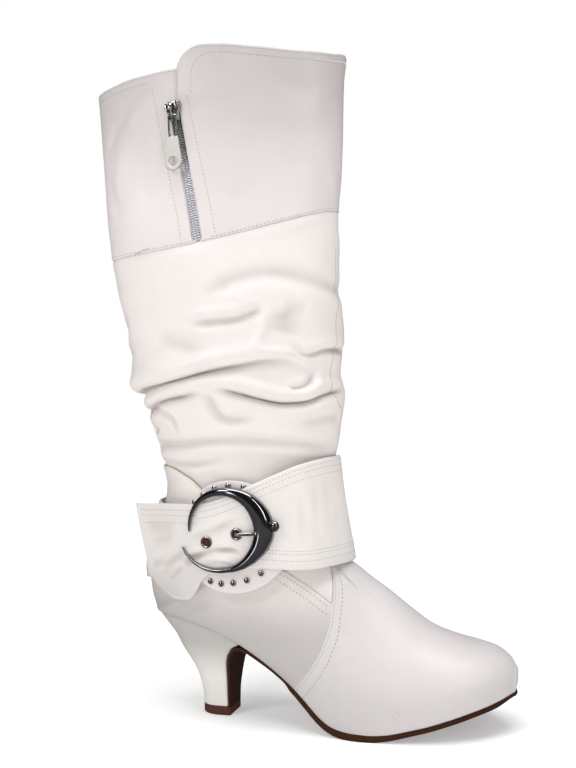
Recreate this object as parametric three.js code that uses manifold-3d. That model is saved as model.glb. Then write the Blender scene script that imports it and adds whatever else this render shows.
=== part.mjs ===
// A slouched mid-calf boot for a right foot: a lasted upper over a covered heel, a gathered leg,
// a zipped cuff, and a wide strap that runs round the ankle and through a crescent buckle.
// Units are millimetres. +X runs from heel to toe, -Y is the outer side of the foot, +Z is up.
import * as THREE from "three";
import { mergeVertices } from "three/addons/utils/BufferGeometryUtils.js";
import Module from "manifold-3d";

const wasm = await Module();
wasm.setup();

// Foot
const footLength = 236; // heel back to toe tip, along the floor
const ballWidth = 83; // outside of the upper at its widest
const seatHeight = 67.5; // floor to the underside of the upper at the back of the heel
const toeSpring = 21; // rise of the toe tip over the ball
const toeSwing = 6; // how far the toe tip leans to the inner side
const upperWall = 2;
const vampStep = 0.7; // how far the vamp stands over the quarter at their seam

// Leg
const ankleHeight = 125; // where the foot's sections end and level rings begin
const ankleRear = 4; // X of the back of the ankle
const ankleFront = 125.5; // X of the front of the ankle
const ankleWidth = 76;
const tabHeight = 162.5; // top of the upper's back tab
const collarHeight = 427.5; // highest point of the cuff, on the corner of its front panel
const collarRear = -33.5;
const collarFront = 139.5;
const collarWidth = 80;
const collarDrop = 16; // the cuff's back edge is this much lower
const seamHeight = 300; // cuff seam at the back
const seamRise = 24; // cuff seam climbs this much to the front
const shaftWall = 1.6;
const cuffWall = 1.8;
const shaftLap = 2.4; // length of the shaft tucked behind the cuff
const tuckDepth = 2; // the shaft's foot starts this much above the ankle line
const tuckGap = 0.5; // clearance between the shaft's foot and the upper around it
const seamEdge = 1.5; // the shaft is fully tucked in this much below the cuff
const easeLength = 9; // length over which a tucked edge comes out to the skin

// Sole and heel
const soleThickness = 3.5;
const insoleThickness = 2.5;
const lastingMargin = 11; // width of upper turned under the foot
const topPieceHeight = 5.7;
const heelTipLength = 21.5;
const heelTipWidth = 20.6;
const heelTipRear = 32; // X of the back of the heel tip
const breastTop = 66; // X where the sole turns down the heel breast
const breastFlap = 1.5; // thickness of the sole's flap on the breast

// Strap, disc and buckle
const strapThickness = 1.8;
const strapBase = 101; // lower edge of the strap at the front
const strapTop = 168.5; // upper edge of the strap at the front
const tailLength = 44; // free end of the strap beyond the ankle
const tailSlant = 17; // the free end's lower corner is this much shorter
const discRadius = 36;
const discThickness = 1.6;
const discX = 70;
const discZ = 120.5;
const studRadius = 2;
const studHeight = 1.5;
const buckleX = 65.6;
const buckleZ = 126;
const buckleRadius = 25.6; // buckle centre to the middle of the crescent's thick side
const buckleWidth = 12; // crescent at its widest
const buckleRise = 4.4; // height of the crescent over the strap
const knobRadius = 3.8;
const prongRadius = 1.1;
const eyeletRadius = 3.9;
const eyeletHole = 2.2;
const eyeletRise = 1;

// Zip
const zipTop = { x: 37, z: 395 };
const zipFoot = { x: 51.3, z: 307.6 };
const slotWidth = 7;
const tapeWidth = 15;
const tapeThickness = 0.8;
const sliderLength = 13;
const sliderWidth = 10;
const sliderThickness = 3;
const pullLength = 35;
const pullWidth = 10.2;
const pullThickness = 1.4;
const pullHole = 2.6;

const fit = 0.3; // clearance where two pieces touch

// Places along the last. Each row is a section from a point on the sole or counter to a point on the
// ridge: sole = X of the lower point / foot length, rise = its climb up the counter, top and crown =
// the ridge point from ankle front to toe and up to ankle height, leg = share of the ankle's width in
// the base width, half = half width / base, bottom = flat bottom / half width, seat = height of the
// widest place, wall and ridge = roundness below and above it, swing = centre line / toe swing.
const LAST = [
  { sole: 0.989, rise: 0, top: 0.987, crown: 0.306, leg: 0, half: 0.18, bottom: 0.7, seat: 0.46, wall: 2, ridge: 2.1, swing: 1 },
  { sole: 0.975, rise: 0, top: 0.963, crown: 0.338, leg: 0, half: 0.36, bottom: 0.76, seat: 0.45, wall: 2, ridge: 2.1, swing: 0.95 },
  { sole: 0.945, rise: 0, top: 0.887, crown: 0.385, leg: 0, half: 0.62, bottom: 0.8, seat: 0.42, wall: 2, ridge: 2.15, swing: 0.85 },
  { sole: 0.9, rise: 0, top: 0.792, crown: 0.411, leg: 0, half: 0.81, bottom: 0.83, seat: 0.39, wall: 2, ridge: 2.1, swing: 0.7 },
  { sole: 0.84, rise: 0, top: 0.665, crown: 0.442, leg: 0, half: 0.94, bottom: 0.87, seat: 0.35, wall: 2, ridge: 2, swing: 0.5 },
  { sole: 0.77, rise: 0, top: 0.529, crown: 0.493, leg: 0, half: 0.995, bottom: 0.91, seat: 0.31, wall: 2, ridge: 1.9, swing: 0.3 },
  { sole: 0.7, rise: 0, top: 0.403, crown: 0.582, leg: 0, half: 1, bottom: 0.93, seat: 0.28, wall: 2, ridge: 1.78, swing: 0.12 },
  { sole: 0.63, rise: 0, top: 0.294, crown: 0.664, leg: 0, half: 0.985, bottom: 0.93, seat: 0.27, wall: 2, ridge: 1.72, swing: 0 },
  { sole: 0.55, rise: 0, top: 0.2, crown: 0.727, leg: 0.1, half: 0.948, bottom: 0.87, seat: 0.29, wall: 1.9, ridge: 1.7, swing: -0.15 },
  { sole: 0.46, rise: 0, top: 0.12, crown: 0.784, leg: 0.3, half: 0.922, bottom: 0.76, seat: 0.32, wall: 1.8, ridge: 1.72, swing: -0.3 },
  { sole: 0.36, rise: 0, top: 0.064, crown: 0.82, leg: 0.5, half: 0.906, bottom: 0.67, seat: 0.36, wall: 1.75, ridge: 1.76, swing: -0.3 },
  { sole: 0.26, rise: 0, top: 0.029, crown: 0.86, leg: 0.6, half: 0.896, bottom: 0.69, seat: 0.4, wall: 1.8, ridge: 1.82, swing: -0.15 },
  { sole: 0.16, rise: 0, top: 0.012, crown: 0.9, leg: 0.7, half: 0.904, bottom: 0.72, seat: 0.43, wall: 1.85, ridge: 1.88, swing: -0.05 },
  { sole: 0.08, rise: 0, top: 0.005, crown: 0.935, leg: 0.8, half: 0.922, bottom: 0.61, seat: 0.46, wall: 1.9, ridge: 1.93, swing: 0 },
  { sole: 0.028, rise: 0, top: 0.002, crown: 0.958, leg: 0.85, half: 0.935, bottom: 0.38, seat: 0.48, wall: 1.95, ridge: 1.97, swing: 0 },
  { sole: 0.006, rise: 0.005, top: 0.001, crown: 0.968, leg: 0.88, half: 0.94, bottom: 0.17, seat: 0.485, wall: 2, ridge: 2, swing: 0 },
  { sole: -0.006, rise: 0.11, top: 0, crown: 0.977, leg: 0.9, half: 0.944, bottom: 0, seat: 0.49, wall: 2, ridge: 2, swing: 0 },
  { sole: -0.02, rise: 0.45, top: 0, crown: 0.988, leg: 0.95, half: 0.963, bottom: 0, seat: 0.5, wall: 2, ridge: 2, swing: 0 },
  { sole: -0.0085, rise: 0.75, top: 0, crown: 0.996, leg: 0.98, half: 0.982, bottom: 0, seat: 0.5, wall: 2, ridge: 2, swing: 0 },
  { sole: 0, rise: 1, top: 0, crown: 1, leg: 1, half: 1, bottom: 0, seat: 0.5, wall: 2, ridge: 2, swing: 0 },
];
LAST.forEach((row, index) => (row.station = index));
const ankleStation = LAST.length - 1;

// Underside of the upper: heel = share of the seat's rise, toe = share of the toe spring.
const SOLE_LINE = [
  { at: 0, heel: 1, toe: 0 },
  { at: 0.05, heel: 1, toe: 0 },
  { at: 0.1, heel: 0.975, toe: 0 },
  { at: 0.18, heel: 0.905, toe: 0 },
  { at: 0.255, heel: 0.785, toe: 0 },
  { at: 0.34, heel: 0.612, toe: 0 },
  { at: 0.424, heel: 0.4, toe: 0 },
  { at: 0.462, heel: 0.283, toe: 0 },
  { at: 0.5, heel: 0.132, toe: 0 },
  { at: 0.54, heel: 0.022, toe: 0 },
  { at: 0.57, heel: 0, toe: 0 },
  { at: 0.66, heel: 0, toe: 0 },
  { at: 0.72, heel: 0, toe: 0.15 },
  { at: 0.8, heel: 0, toe: 0.37 },
  { at: 0.88, heel: 0, toe: 0.63 },
  { at: 0.94, heel: 0, toe: 0.82 },
  { at: 1, heel: 0, toe: 1 },
];

// The leg: up = share of the height from ankle to collar, rear and front = shares of the way from the
// ankle's X to the collar's, wide = width over the plain taper between them.
const LEG = [
  { up: 0, rear: 0, front: 0, wide: 1 },
  { up: 0.05, rear: -0.147, front: -0.03, wide: 1 },
  { up: 0.09, rear: -0.187, front: -0.06, wide: 1 },
  { up: 0.133, rear: -0.107, front: -0.07, wide: 1.01 },
  { up: 0.173, rear: -0.053, front: 0.15, wide: 1.03 },
  { up: 0.2, rear: 0, front: 0.25, wide: 1.05 },
  { up: 0.249, rear: 0.16, front: 0.46, wide: 1.08 },
  { up: 0.272, rear: 0.25, front: 0.5, wide: 1.09 },
  { up: 0.312, rear: 0.4, front: 0.28, wide: 1.09 },
  { up: 0.365, rear: 0.49, front: 0.44, wide: 1.1 },
  { up: 0.419, rear: 0.51, front: 0.5, wide: 1.11 },
  { up: 0.449, rear: 0.53, front: 0.46, wide: 1.11 },
  { up: 0.502, rear: 0.64, front: 0.38, wide: 1.11 },
  { up: 0.558, rear: 0.75, front: 0.36, wide: 1.1 },
  { up: 0.664, rear: 0.827, front: 0.43, wide: 1.08 },
  { up: 0.748, rear: 0.867, front: 0.57, wide: 1.06 },
  { up: 0.831, rear: 0.912, front: 0.75, wide: 1.04 },
  { up: 0.914, rear: 0.952, front: 0.89, wide: 1.02 },
  { up: 1, rear: 1, front: 1, wide: 1 },
];

// Top edge of the upper, from ankle height (0) to the back tab (1), by angle from the front.
const TOPLINE = [
  { angle: 0, share: 0.66 },
  { angle: 45, share: 0.48 },
  { angle: 80, share: 0.36 },
  { angle: 105, share: 0.53 },
  { angle: 123, share: 0.82 },
  { angle: 142, share: 0.97 },
  { angle: 180, share: 1 },
];

// Top edge of the cuff by angle from the front: drop = share of the collar's drop. The front panel ends
// on the outer side in a rounded corner that stands over the back panel.
const COLLAR = [
  { angle: 0, drop: 0.32 },
  { angle: 20, drop: 0.45 },
  { angle: 42, drop: 0.43 },
  { angle: 66, drop: 0.21 },
  { angle: 77, drop: 0.06 },
  { angle: 86, drop: 0 },
  { angle: 90, drop: 0.01 },
  { angle: 93.5, drop: 0.12 },
  { angle: 96.5, drop: 0.36 },
  { angle: 98, drop: 0.57 },
  { angle: 99.5, drop: 0.76 },
  { angle: 102.5, drop: 0.8 },
  { angle: 124, drop: 0.88 },
  { angle: 142, drop: 0.98 },
  { angle: 180, drop: 1 },
  { angle: 235, drop: 0.86 },
  { angle: 290, drop: 0.55 },
  { angle: 330, drop: 0.36 },
  { angle: 360, drop: 0.32 },
];

// Main folds of the slouched shaft. Angles are from the front towards the outer side. up = place
// between ankle and collar at the fold's start, middle and end, deep = depth, tall = half height.
const FOLDS = [
  { from: 70, to: 190, start: 0.33, middle: 0.318, end: 0.275, deep: 2.8, tall: 7.5 },
  { from: 95, to: 200, start: 0.255, middle: 0.245, end: 0.222, deep: 2.6, tall: 7 },
  { from: 8, to: 88, start: 0.245, middle: 0.222, end: 0.255, deep: 2.4, tall: 7 },
  { from: 5, to: 100, start: 0.5, middle: 0.545, end: 0.49, deep: 1.8, tall: 9 },
  { from: -14, to: 52, start: 0.35, middle: 0.355, end: 0.335, deep: 2, tall: 7.5 },
  { from: 190, to: 300, start: 0.31, middle: 0.345, end: 0.37, deep: 2.4, tall: 8 },
  { from: 200, to: 330, start: 0.24, middle: 0.215, end: 0.27, deep: 2.4, tall: 8 },
  { from: 215, to: 350, start: 0.44, middle: 0.48, end: 0.43, deep: 2, tall: 9 },
];

// Base surface that the strap and the disc follow: height as a share of the strap's front, then X of
// its back and front beyond the ankle's, and its half width over half the ankle's width.
const GIRDLE = [
  { share: -0.3, rear: -7.6, front: 14.5, wide: 2 },
  { share: -0.06, rear: -7.6, front: 10.2, wide: 2.2 },
  { share: 0.14, rear: -4.8, front: 8.2, wide: 2.2 },
  { share: 0.36, rear: -1, front: 5.8, wide: 2.2 },
  { share: 0.6, rear: 3.4, front: 3.4, wide: 2.2 },
  { share: 1, rear: 7, front: 0.4, wide: 2.4 },
];

// The strap from its sewn end, once round the ankle and over the disc to its free end. angle is from
// the front towards the outer side, top and base are shares of the strap's height at the front,
// layer 0 lies on the boot and layer 1 over the disc.
const STRAP = [
  { angle: 98, top: 0.46, base: 0.02, layer: 0 },
  { angle: 116, top: 0.51, base: -0.03, layer: 0 },
  { angle: 130, top: 0.55, base: -0.1, layer: 0 },
  { angle: 155, top: 0.58, base: -0.16, layer: 0 },
  { angle: 180, top: 0.59, base: -0.19, layer: 0 },
  { angle: 205, top: 0.61, base: -0.18, layer: 0 },
  { angle: 235, top: 0.69, base: -0.15, layer: 0 },
  { angle: 270, top: 0.8, base: -0.08, layer: 0 },
  { angle: 305, top: 0.91, base: -0.02, layer: 0 },
  { angle: 335, top: 0.98, base: 0.01, layer: 0 },
  { angle: 360, top: 1, base: 0.015, layer: 0 },
  { angle: 378, top: 0.99, base: 0.015, layer: 0.12 },
  { angle: 394, top: 0.95, base: 0.01, layer: 0.6 },
  { angle: 407, top: 0.88, base: 0, layer: 1 },
  { angle: 420, top: 0.75, base: 0.01, layer: 1.02 },
  { angle: 434, top: 0.66, base: 0.03, layer: 1.02 },
  { angle: 450, top: 0.6, base: 0.03, layer: 1.02 },
  { angle: 461, top: 0.575, base: -0.07, layer: 1.02 },
  { angle: 467, top: 0.575, base: -0.21, layer: 1.02 },
  { angle: 472, top: 0.59, base: -0.285, layer: 1.02 },
];
// The free end, along the tangent: along = share of the tail's length.
const TAIL = [
  { along: 0.3, top: 0.6, base: -0.285 },
  { along: 0.6, top: 0.6, base: -0.215 },
  { along: 0.85, top: 0.6, base: -0.14 },
  { along: 1, top: 0.605, base: -0.07 },
];

// Crescent of the buckle: angle from the toe side, anticlockwise from outside. middle = radius of the
// middle line, wide = width, rise = height, all as shares of the named sizes.
const CRESCENT = [
  { angle: -157, middle: 1.19, wide: 0.09, rise: 0.4 },
  { angle: -140, middle: 1.12, wide: 0.15, rise: 0.5 },
  { angle: -120, middle: 1.04, wide: 0.2, rise: 0.56 },
  { angle: -100, middle: 0.97, wide: 0.25, rise: 0.62 },
  { angle: -80, middle: 0.93, wide: 0.32, rise: 0.7 },
  { angle: -60, middle: 0.93, wide: 0.47, rise: 0.82 },
  { angle: -40, middle: 0.94, wide: 0.68, rise: 0.93 },
  { angle: -20, middle: 0.98, wide: 0.9, rise: 1 },
  { angle: 0, middle: 1, wide: 1, rise: 1 },
  { angle: 20, middle: 0.99, wide: 0.97, rise: 1 },
  { angle: 40, middle: 0.975, wide: 0.82, rise: 0.95 },
  { angle: 60, middle: 0.96, wide: 0.65, rise: 0.88 },
  { angle: 80, middle: 0.94, wide: 0.5, rise: 0.8 },
  { angle: 100, middle: 0.93, wide: 0.41, rise: 0.72 },
  { angle: 120, middle: 0.93, wide: 0.34, rise: 0.66 },
  { angle: 140, middle: 0.925, wide: 0.28, rise: 0.6 },
  { angle: 160, middle: 0.92, wide: 0.21, rise: 0.54 },
  { angle: 181, middle: 0.91, wide: 0.11, rise: 0.42 },
];
// Studs on the disc: angle from the toe side, reach = distance from its middle / disc radius.
const STUDS = [
  { name: "stud_top_1", angle: 138, reach: 0.92 },
  { name: "stud_top_2", angle: 124, reach: 0.905 },
  { name: "stud_top_3", angle: 108, reach: 0.915 },
  { name: "stud_top_4", angle: 92, reach: 0.915 },
  { name: "stud_top_5", angle: 75, reach: 0.92 },
  { name: "stud_base_1", angle: -119, reach: 0.83 },
  { name: "stud_base_2", angle: -105, reach: 0.79 },
  { name: "stud_base_3", angle: -89, reach: 0.745 },
  { name: "stud_base_4", angle: -70, reach: 0.74 },
  { name: "stud_base_5", angle: -49, reach: 0.76 },
];

// Seam where the vamp laps over the quarter: forward = share from ankle front to toe, up = share of
// ankle height.
const VAMP_SEAM = [
  { forward: -0.12, up: 0.98 },
  { forward: -0.012, up: 0.83 },
  { forward: 0.028, up: 0.67 },
  { forward: 0.026, up: 0.58 },
  { forward: -0.015, up: 0.44 },
  { forward: -0.095, up: 0.32 },
  { forward: -0.19, up: 0.22 },
  { forward: -0.36, up: -0.05 },
];

// Heel block, from the top piece (0) to the seat (1). rear, breast = share of the way from the tip's
// faces to the heel back and the breast's top, half = share from the tip's half width to the seat's.
const HEEL = [
  { up: 0, rear: 0, breast: 0, half: 0 },
  { up: 0.13, rear: 0.01, breast: 0.01, half: 0.04 },
  { up: 0.33, rear: 0.1, breast: 0.09, half: 0.22 },
  { up: 0.46, rear: 0.22, breast: 0.17, half: 0.42 },
  { up: 0.57, rear: 0.36, breast: 0.33, half: 0.61 },
  { up: 0.66, rear: 0.48, breast: 0.62, half: 0.74 },
  { up: 0.74, rear: 0.58, breast: 0.96, half: 0.84 },
  { up: 0.86, rear: 0.78, breast: 1, half: 0.94 },
  { up: 0.97, rear: 0.95, breast: 1, half: 0.99 },
  { up: 1, rear: 0.985, breast: 1, half: 1 },
];
const seatHalfWidth = 26.5; // heel block at the seat

const TURN = 2 * Math.PI;
const degrees = THREE.MathUtils.degToRad;
const mix = THREE.MathUtils.lerp;
const ease = (x, from, to) => THREE.MathUtils.smoothstep(x, from, to);

// A column of a table as a smooth function that never overshoots its rows.
function column(rows, at, key) {
  const x = rows.map((row) => row[at]);
  const y = rows.map((row) => row[key]);
  const slope = x.slice(1).map((next, i) => (y[i + 1] - y[i]) / (next - x[i]));
  const tangent = y.map((_, i) => {
    if (i === 0) return slope[0];
    if (i === y.length - 1) return slope[i - 1];
    const product = slope[i - 1] * slope[i];
    return product <= 0 ? 0 : (2 * product) / (slope[i - 1] + slope[i]);
  });
  return (value) => {
    const v = Math.min(Math.max(value, x[0]), x[x.length - 1]);
    let i = 0;
    while (i < x.length - 2 && v > x[i + 1]) i += 1;
    const width = x[i + 1] - x[i];
    const t = (v - x[i]) / width;
    const low = (1 + 2 * t) * (1 - t) ** 2 * y[i] + t * (1 - t) ** 2 * width * tangent[i];
    const high = t ** 2 * (3 - 2 * t) * y[i + 1] - t ** 2 * (1 - t) * width * tangent[i + 1];
    return low + high;
  };
}

const columns = (rows, at) =>
  Object.fromEntries(Object.keys(rows[0]).map((key) => [key, column(rows, at, key)]));

const soleLine = columns(SOLE_LINE, "at");
const last = columns(LAST, "station");
const leg = columns(LEG, "up");
const girdle = columns(GIRDLE, "share");
const toplineShare = column(TOPLINE, "angle", "share");
const collarLine = column(COLLAR, "angle", "drop");

// Height of the underside of the upper over the floor at X.
function soleHeight(x) {
  const base = soleThickness + fit;
  const at = x / footLength;
  return base + soleLine.heel(at) * (seatHeight - base) + soleLine.toe(at) * toeSpring;
}

// One section of the last: its lower and ridge points, and how it swells between them.
function lastSection(station) {
  const rise = last.rise(station);
  const soleX = last.sole(station) * footLength;
  const base = mix(ballWidth, ankleWidth, last.leg(station)) / 2;
  return {
    low: { x: soleX + rise * ankleRear, z: soleHeight(soleX) + rise * (ankleHeight - seatHeight) },
    top: {
      x: mix(ankleFront, footLength, last.top(station)),
      z: last.crown(station) * ankleHeight,
    },
    half: base * last.half(station),
    bottom: last.bottom(station),
    seat: last.seat(station),
    wall: last.wall(station),
    ridge: last.ridge(station),
    centre: last.swing(station) * toeSwing,
  };
}

// One level ring of the leg at a height.
function legSection(z) {
  const up = (z - ankleHeight) / (collarHeight - ankleHeight);
  return {
    low: { x: mix(ankleRear, collarRear, leg.rear(up)), z },
    top: { x: mix(ankleFront, collarFront, leg.front(up)), z },
    half: (mix(ankleWidth, collarWidth, Math.max(up, 0)) / 2) * leg.wide(up),
    bottom: 0,
    seat: 0.5,
    wall: 2,
    ridge: 2,
    centre: 0,
  };
}

const flatShare = 0.3; // share of the lower quarter turn that lies on the flat bottom
const fullFlat = 0.3; // flat bottom, as a share of the half width, that takes all of it

// A point of a section: 0 is the ridge, a quarter turn the outer side, a half turn the lower point.
function sectionPoint(section, angle) {
  const { low, top, half, bottom, seat, wall, ridge, centre } = section;
  const turned = THREE.MathUtils.euclideanModulo(angle, TURN);
  const outer = turned <= Math.PI;
  const fold = outer ? turned : TURN - turned;
  let height;
  let width;
  if (fold <= Math.PI / 2) {
    height = seat + (1 - seat) * Math.cos(fold) ** (2 / ridge);
    width = half * Math.sin(fold) ** (2 / ridge);
  } else {
    const share = fold / (Math.PI / 2) - 1;
    const bend = 1 - flatShare * Math.min(1, bottom / fullFlat);
    const arc = (Math.min(share / bend, 1) * Math.PI) / 2;
    const flat = share > bend ? (share - bend) / (1 - bend) : 0;
    height = seat * (1 - Math.sin(arc) ** (2 / wall));
    width = half * (bottom * (1 - flat) + (1 - bottom) * Math.cos(arc) ** (2 / wall));
  }
  return new THREE.Vector3(
    mix(low.x, top.x, height),
    centre + (outer ? -width : width),
    mix(low.z, top.z, height),
  );
}

// The boot's skin moved out by an offset along its normal. sectionOf gives the section at a place.
function skinPoint(sectionOf, place, step, angle, offset) {
  const point = sectionPoint(sectionOf(place), angle);
  if (offset === 0) return point;
  const turn = 0.03;
  const along = sectionPoint(sectionOf(place + step), angle).sub(
    sectionPoint(sectionOf(place - step), angle),
  );
  const round = sectionPoint(sectionOf(place), angle + turn).sub(
    sectionPoint(sectionOf(place), angle - turn),
  );
  const normal = along.cross(round).normalize();
  return point.addScaledVector(normal, -offset);
}
const lastPoint = (station, angle, offset) => skinPoint(lastSection, station, -0.02, angle, offset);
const legPoint = (z, angle, offset) => skinPoint(legSection, z, -0.5, angle, offset);

const ringAngles = (count) => Array.from({ length: count }, (_, i) => (i / count) * TURN);
const steps = (from, to, count) =>
  Array.from({ length: count + 1 }, (_, i) => mix(from, to, i / count));

// Closed solids

function solidOf(positions, triangles) {
  const make = (tri) =>
    new wasm.Manifold(
      new wasm.Mesh({
        numProp: 3,
        vertProperties: new Float32Array(positions),
        triVerts: new Uint32Array(tri),
      }),
    );
  const made = make(triangles);
  if (made.volume() > 0) return made;
  for (let i = 0; i < triangles.length; i += 3)
    [triangles[i + 1], triangles[i + 2]] = [triangles[i + 2], triangles[i + 1]];
  return make(triangles);
}

// A stack of closed rings with equally many points. Without caps the last ring joins the first.
function stackSolid(rings, caps) {
  const count = rings[0].length;
  const points = rings.flat();
  const triangles = [];
  const at = (ring, i) => (ring % rings.length) * count + (i % count);
  const spans = caps ? rings.length - 1 : rings.length;
  for (let ring = 0; ring < spans; ring += 1)
    for (let i = 0; i < count; i += 1) {
      triangles.push(at(ring, i), at(ring, i + 1), at(ring + 1, i));
      triangles.push(at(ring, i + 1), at(ring + 1, i + 1), at(ring + 1, i));
    }
  if (caps)
    caps.forEach((cap, end) => {
      const ring = end * (rings.length - 1);
      points.push(cap);
      for (let i = 0; i < count; i += 1) {
        const edge = [at(ring, i), at(ring, i + 1)];
        if (!end) edge.reverse();
        triangles.push(...edge, points.length - 1);
      }
    });
  return solidOf(
    points.flatMap((p) => [p.x, p.y, p.z]),
    triangles,
  );
}

const middleOf = (ring) =>
  ring.reduce((sum, p) => sum.add(p), new THREE.Vector3()).divideScalar(ring.length);
const cappedStack = (rings) => stackSolid(rings, [middleOf(rings[0]), middleOf(rings.at(-1))]);

// A three.js geometry as a solid, and a solid as a three.js geometry.
function solidFromGeometry(geometry) {
  const bare = geometry.clone();
  bare.deleteAttribute("normal");
  bare.deleteAttribute("uv");
  const merged = mergeVertices(bare, 1e-4);
  return solidOf([...merged.attributes.position.array], [...merged.index.array]);
}

function geometryFromSolid(solid) {
  const { numProp, numVert, vertProperties, triVerts } = solid.getMesh();
  const positions = new Float32Array(numVert * 3);
  for (let i = 0; i < numVert; i += 1)
    positions.set(vertProperties.subarray(i * numProp, i * numProp + 3), i * 3);
  const geometry = new THREE.BufferGeometry();
  geometry.setAttribute("position", new THREE.BufferAttribute(positions, 3));
  geometry.setIndex(new THREE.BufferAttribute(new Uint32Array(triVerts), 1));
  geometry.computeVertexNormals();
  return geometry;
}

// An outline in X and Z, extruded across the whole boot along Y.
function acrossBoot(outline, from, to) {
  const shape = new THREE.Shape(outline.map(({ x, z }) => new THREE.Vector2(x, z)));
  const geometry = new THREE.ExtrudeGeometry(shape, { depth: to - from, bevelEnabled: false });
  geometry.rotateX(Math.PI / 2);
  geometry.translate(0, to, 0);
  return solidFromGeometry(geometry);
}

// Upper

const round = 26; // points round a section
// Every row of the table, and halves where the ball breaks into the arch.
const stations = [...LAST.map((row) => row.station), 7.5, 8.5, 9.5].sort((a, b) => a - b);
const toeTip = (offset) => {
  const { low, top, centre } = lastSection(0);
  return new THREE.Vector3(footLength + offset, centre, (low.z + top.z) / 2);
};
const lastRing = (station, offset) =>
  ringAngles(round).map((angle) => lastPoint(station, angle, offset));

function toplineHeight(angle) {
  const turned = THREE.MathUtils.radToDeg(THREE.MathUtils.euclideanModulo(angle, TURN));
  const share = toplineShare(Math.min(turned, 360 - turned));
  return mix(ankleHeight, tabHeight, share);
}
// Rings from the ankle to the top edge of the upper, the first one left out, and past it by a height.
const toplineRings = (offset, past) =>
  [0.25, 0.5, 0.75, 1].map((share) =>
    ringAngles(round).map((angle) =>
      legPoint(mix(ankleHeight, toplineHeight(angle), share) + (share === 1 ? past : 0), angle, offset),
    ),
  );

// The whole last as a closed form from the toe to the ankle, with more rings on top if given.
function lastSolid(offset, above = []) {
  const rings = [...stations.map((station) => lastRing(station, offset)), ...above];
  return stackSolid(rings, [toeTip(offset), middleOf(rings.at(-1))]);
}

// A slab along the sole line, inset from the edge of the flat bottom, between two heights over it.
function soleSlab(inset, from, to, places) {
  const rings = places.map((station) => {
    const { low, half, bottom, centre } = lastSection(station);
    const wide = Math.max(half * bottom - inset, 0.4);
    const corner = (side, lift) => new THREE.Vector3(low.x, centre + side * wide, low.z + lift);
    return [corner(-1, from), corner(0, from), corner(1, from), corner(1, to), corner(0, to), corner(-1, to)];
  });
  return cappedStack(rings);
}
const seatEnd = 14.6; // last station that still lies on the flat heel seat

function vampOverlay() {
  const overlap = 0.8;
  const outer = lastSolid(vampStep);
  const inner = lastSolid(-overlap);
  const seam = VAMP_SEAM.map(({ forward, up }) => ({
    x: mix(ankleFront, footLength, forward),
    z: up * ankleHeight,
  }));
  const curve = new THREE.SplineCurve(seam.map(({ x, z }) => new THREE.Vector2(x, z)));
  const outline = curve.getPoints(16).map((p) => ({ x: p.x, z: p.y }));
  const past = footLength + ballWidth;
  outline.push({ x: past, z: seam.at(-1).z }, { x: past, z: seam[0].z });
  const region = acrossBoot(outline, -ballWidth, ballWidth);
  const under = soleSlab(-ballWidth / 2, -toeSpring, upperWall / 2, steps(0, 11, 22));
  return outer.subtract(inner).intersect(region).subtract(under);
}

function makeUpper() {
  const outer = lastSolid(0, toplineRings(0, 0));
  const hollow = lastSolid(-upperWall, toplineRings(-upperWall, upperWall));
  const opening = soleSlab(lastingMargin, -upperWall, 2 * upperWall, steps(1.4, 13.6, 20));
  return outer.add(vampOverlay()).subtract(hollow).subtract(opening);
}

// Leg: the slouched shaft and the cuff

const seamAt = (angle) => seamHeight + seamRise * ((1 + Math.cos(angle)) / 2) ** 2.4;

// Sum of the folds' troughs at an angle and height, as a depth into the shaft.
function foldDepth(angle, z) {
  const up = (z - ankleHeight) / (collarHeight - ankleHeight);
  const tallUnit = collarHeight - ankleHeight;
  return FOLDS.reduce((sum, { from, to, start, middle, end, deep, tall }) => {
    const turned = THREE.MathUtils.euclideanModulo(THREE.MathUtils.radToDeg(angle) - from, 360);
    const share = turned / (to - from);
    if (share >= 1) return sum;
    const bow = 4 * share * (1 - share);
    const line = mix(start, end, share) + bow * (middle - (start + end) / 2);
    const away = ((up - line) * tallUnit) / tall;
    const trough = Math.exp(-away * away) - 0.6 * Math.exp(-((away - 1.7) ** 2));
    return sum + deep * trough * Math.sqrt(bow);
  }, 0);
}

// How far the shaft's outside stands off the skin: tucked behind the upper below and the cuff above.
function shaftOffset(angle, z) {
  const topline = toplineHeight(angle);
  const seam = seamAt(angle);
  const inUpper = (upperWall + tuckGap) * (1 - ease(z, topline, topline + easeLength));
  const neck = seam - seamEdge;
  const inCuff = (cuffWall + fit) * ease(z, neck - easeLength, neck);
  const free = ease(z, topline, topline + easeLength) * (1 - ease(z, neck - easeLength, neck));
  return -inUpper - inCuff - free * foldDepth(angle, z);
}

// Heights of the shaft's rings: its foot inside the upper, the free length, and the lap in the cuff.
function shaftLevels(angle) {
  const topline = toplineHeight(angle);
  const seam = seamAt(angle);
  return [
    ...steps(ankleHeight + tuckDepth, topline, 4),
    ...steps(topline, seam - seamEdge, 19).slice(1),
    seam + shaftLap,
  ];
}

function makeShaft() {
  const wall = (depth) =>
    steps(0, 24, 24).map((level) =>
      ringAngles(round).map((angle) => {
        const z = shaftLevels(angle)[level];
        return legPoint(z, angle, shaftOffset(angle, z) - depth);
      }),
    );
  return stackSolid([...wall(0), ...wall(shaftWall).reverse()]);
}

// Angle of the skin on the outer side at X and height.
function outerAngle(x, z) {
  const { low, top } = legSection(z);
  return Math.acos(THREE.MathUtils.clamp((2 * x - low.x - top.x) / (top.x - low.x), -1, 1));
}
const zipX = (z) => mix(zipFoot.x, zipTop.x, (z - zipFoot.z) / (zipTop.z - zipFoot.z));

function cuffTop(angle) {
  const turned = THREE.MathUtils.radToDeg(THREE.MathUtils.euclideanModulo(angle, TURN));
  return collarHeight - collarDrop * collarLine(turned);
}

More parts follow.
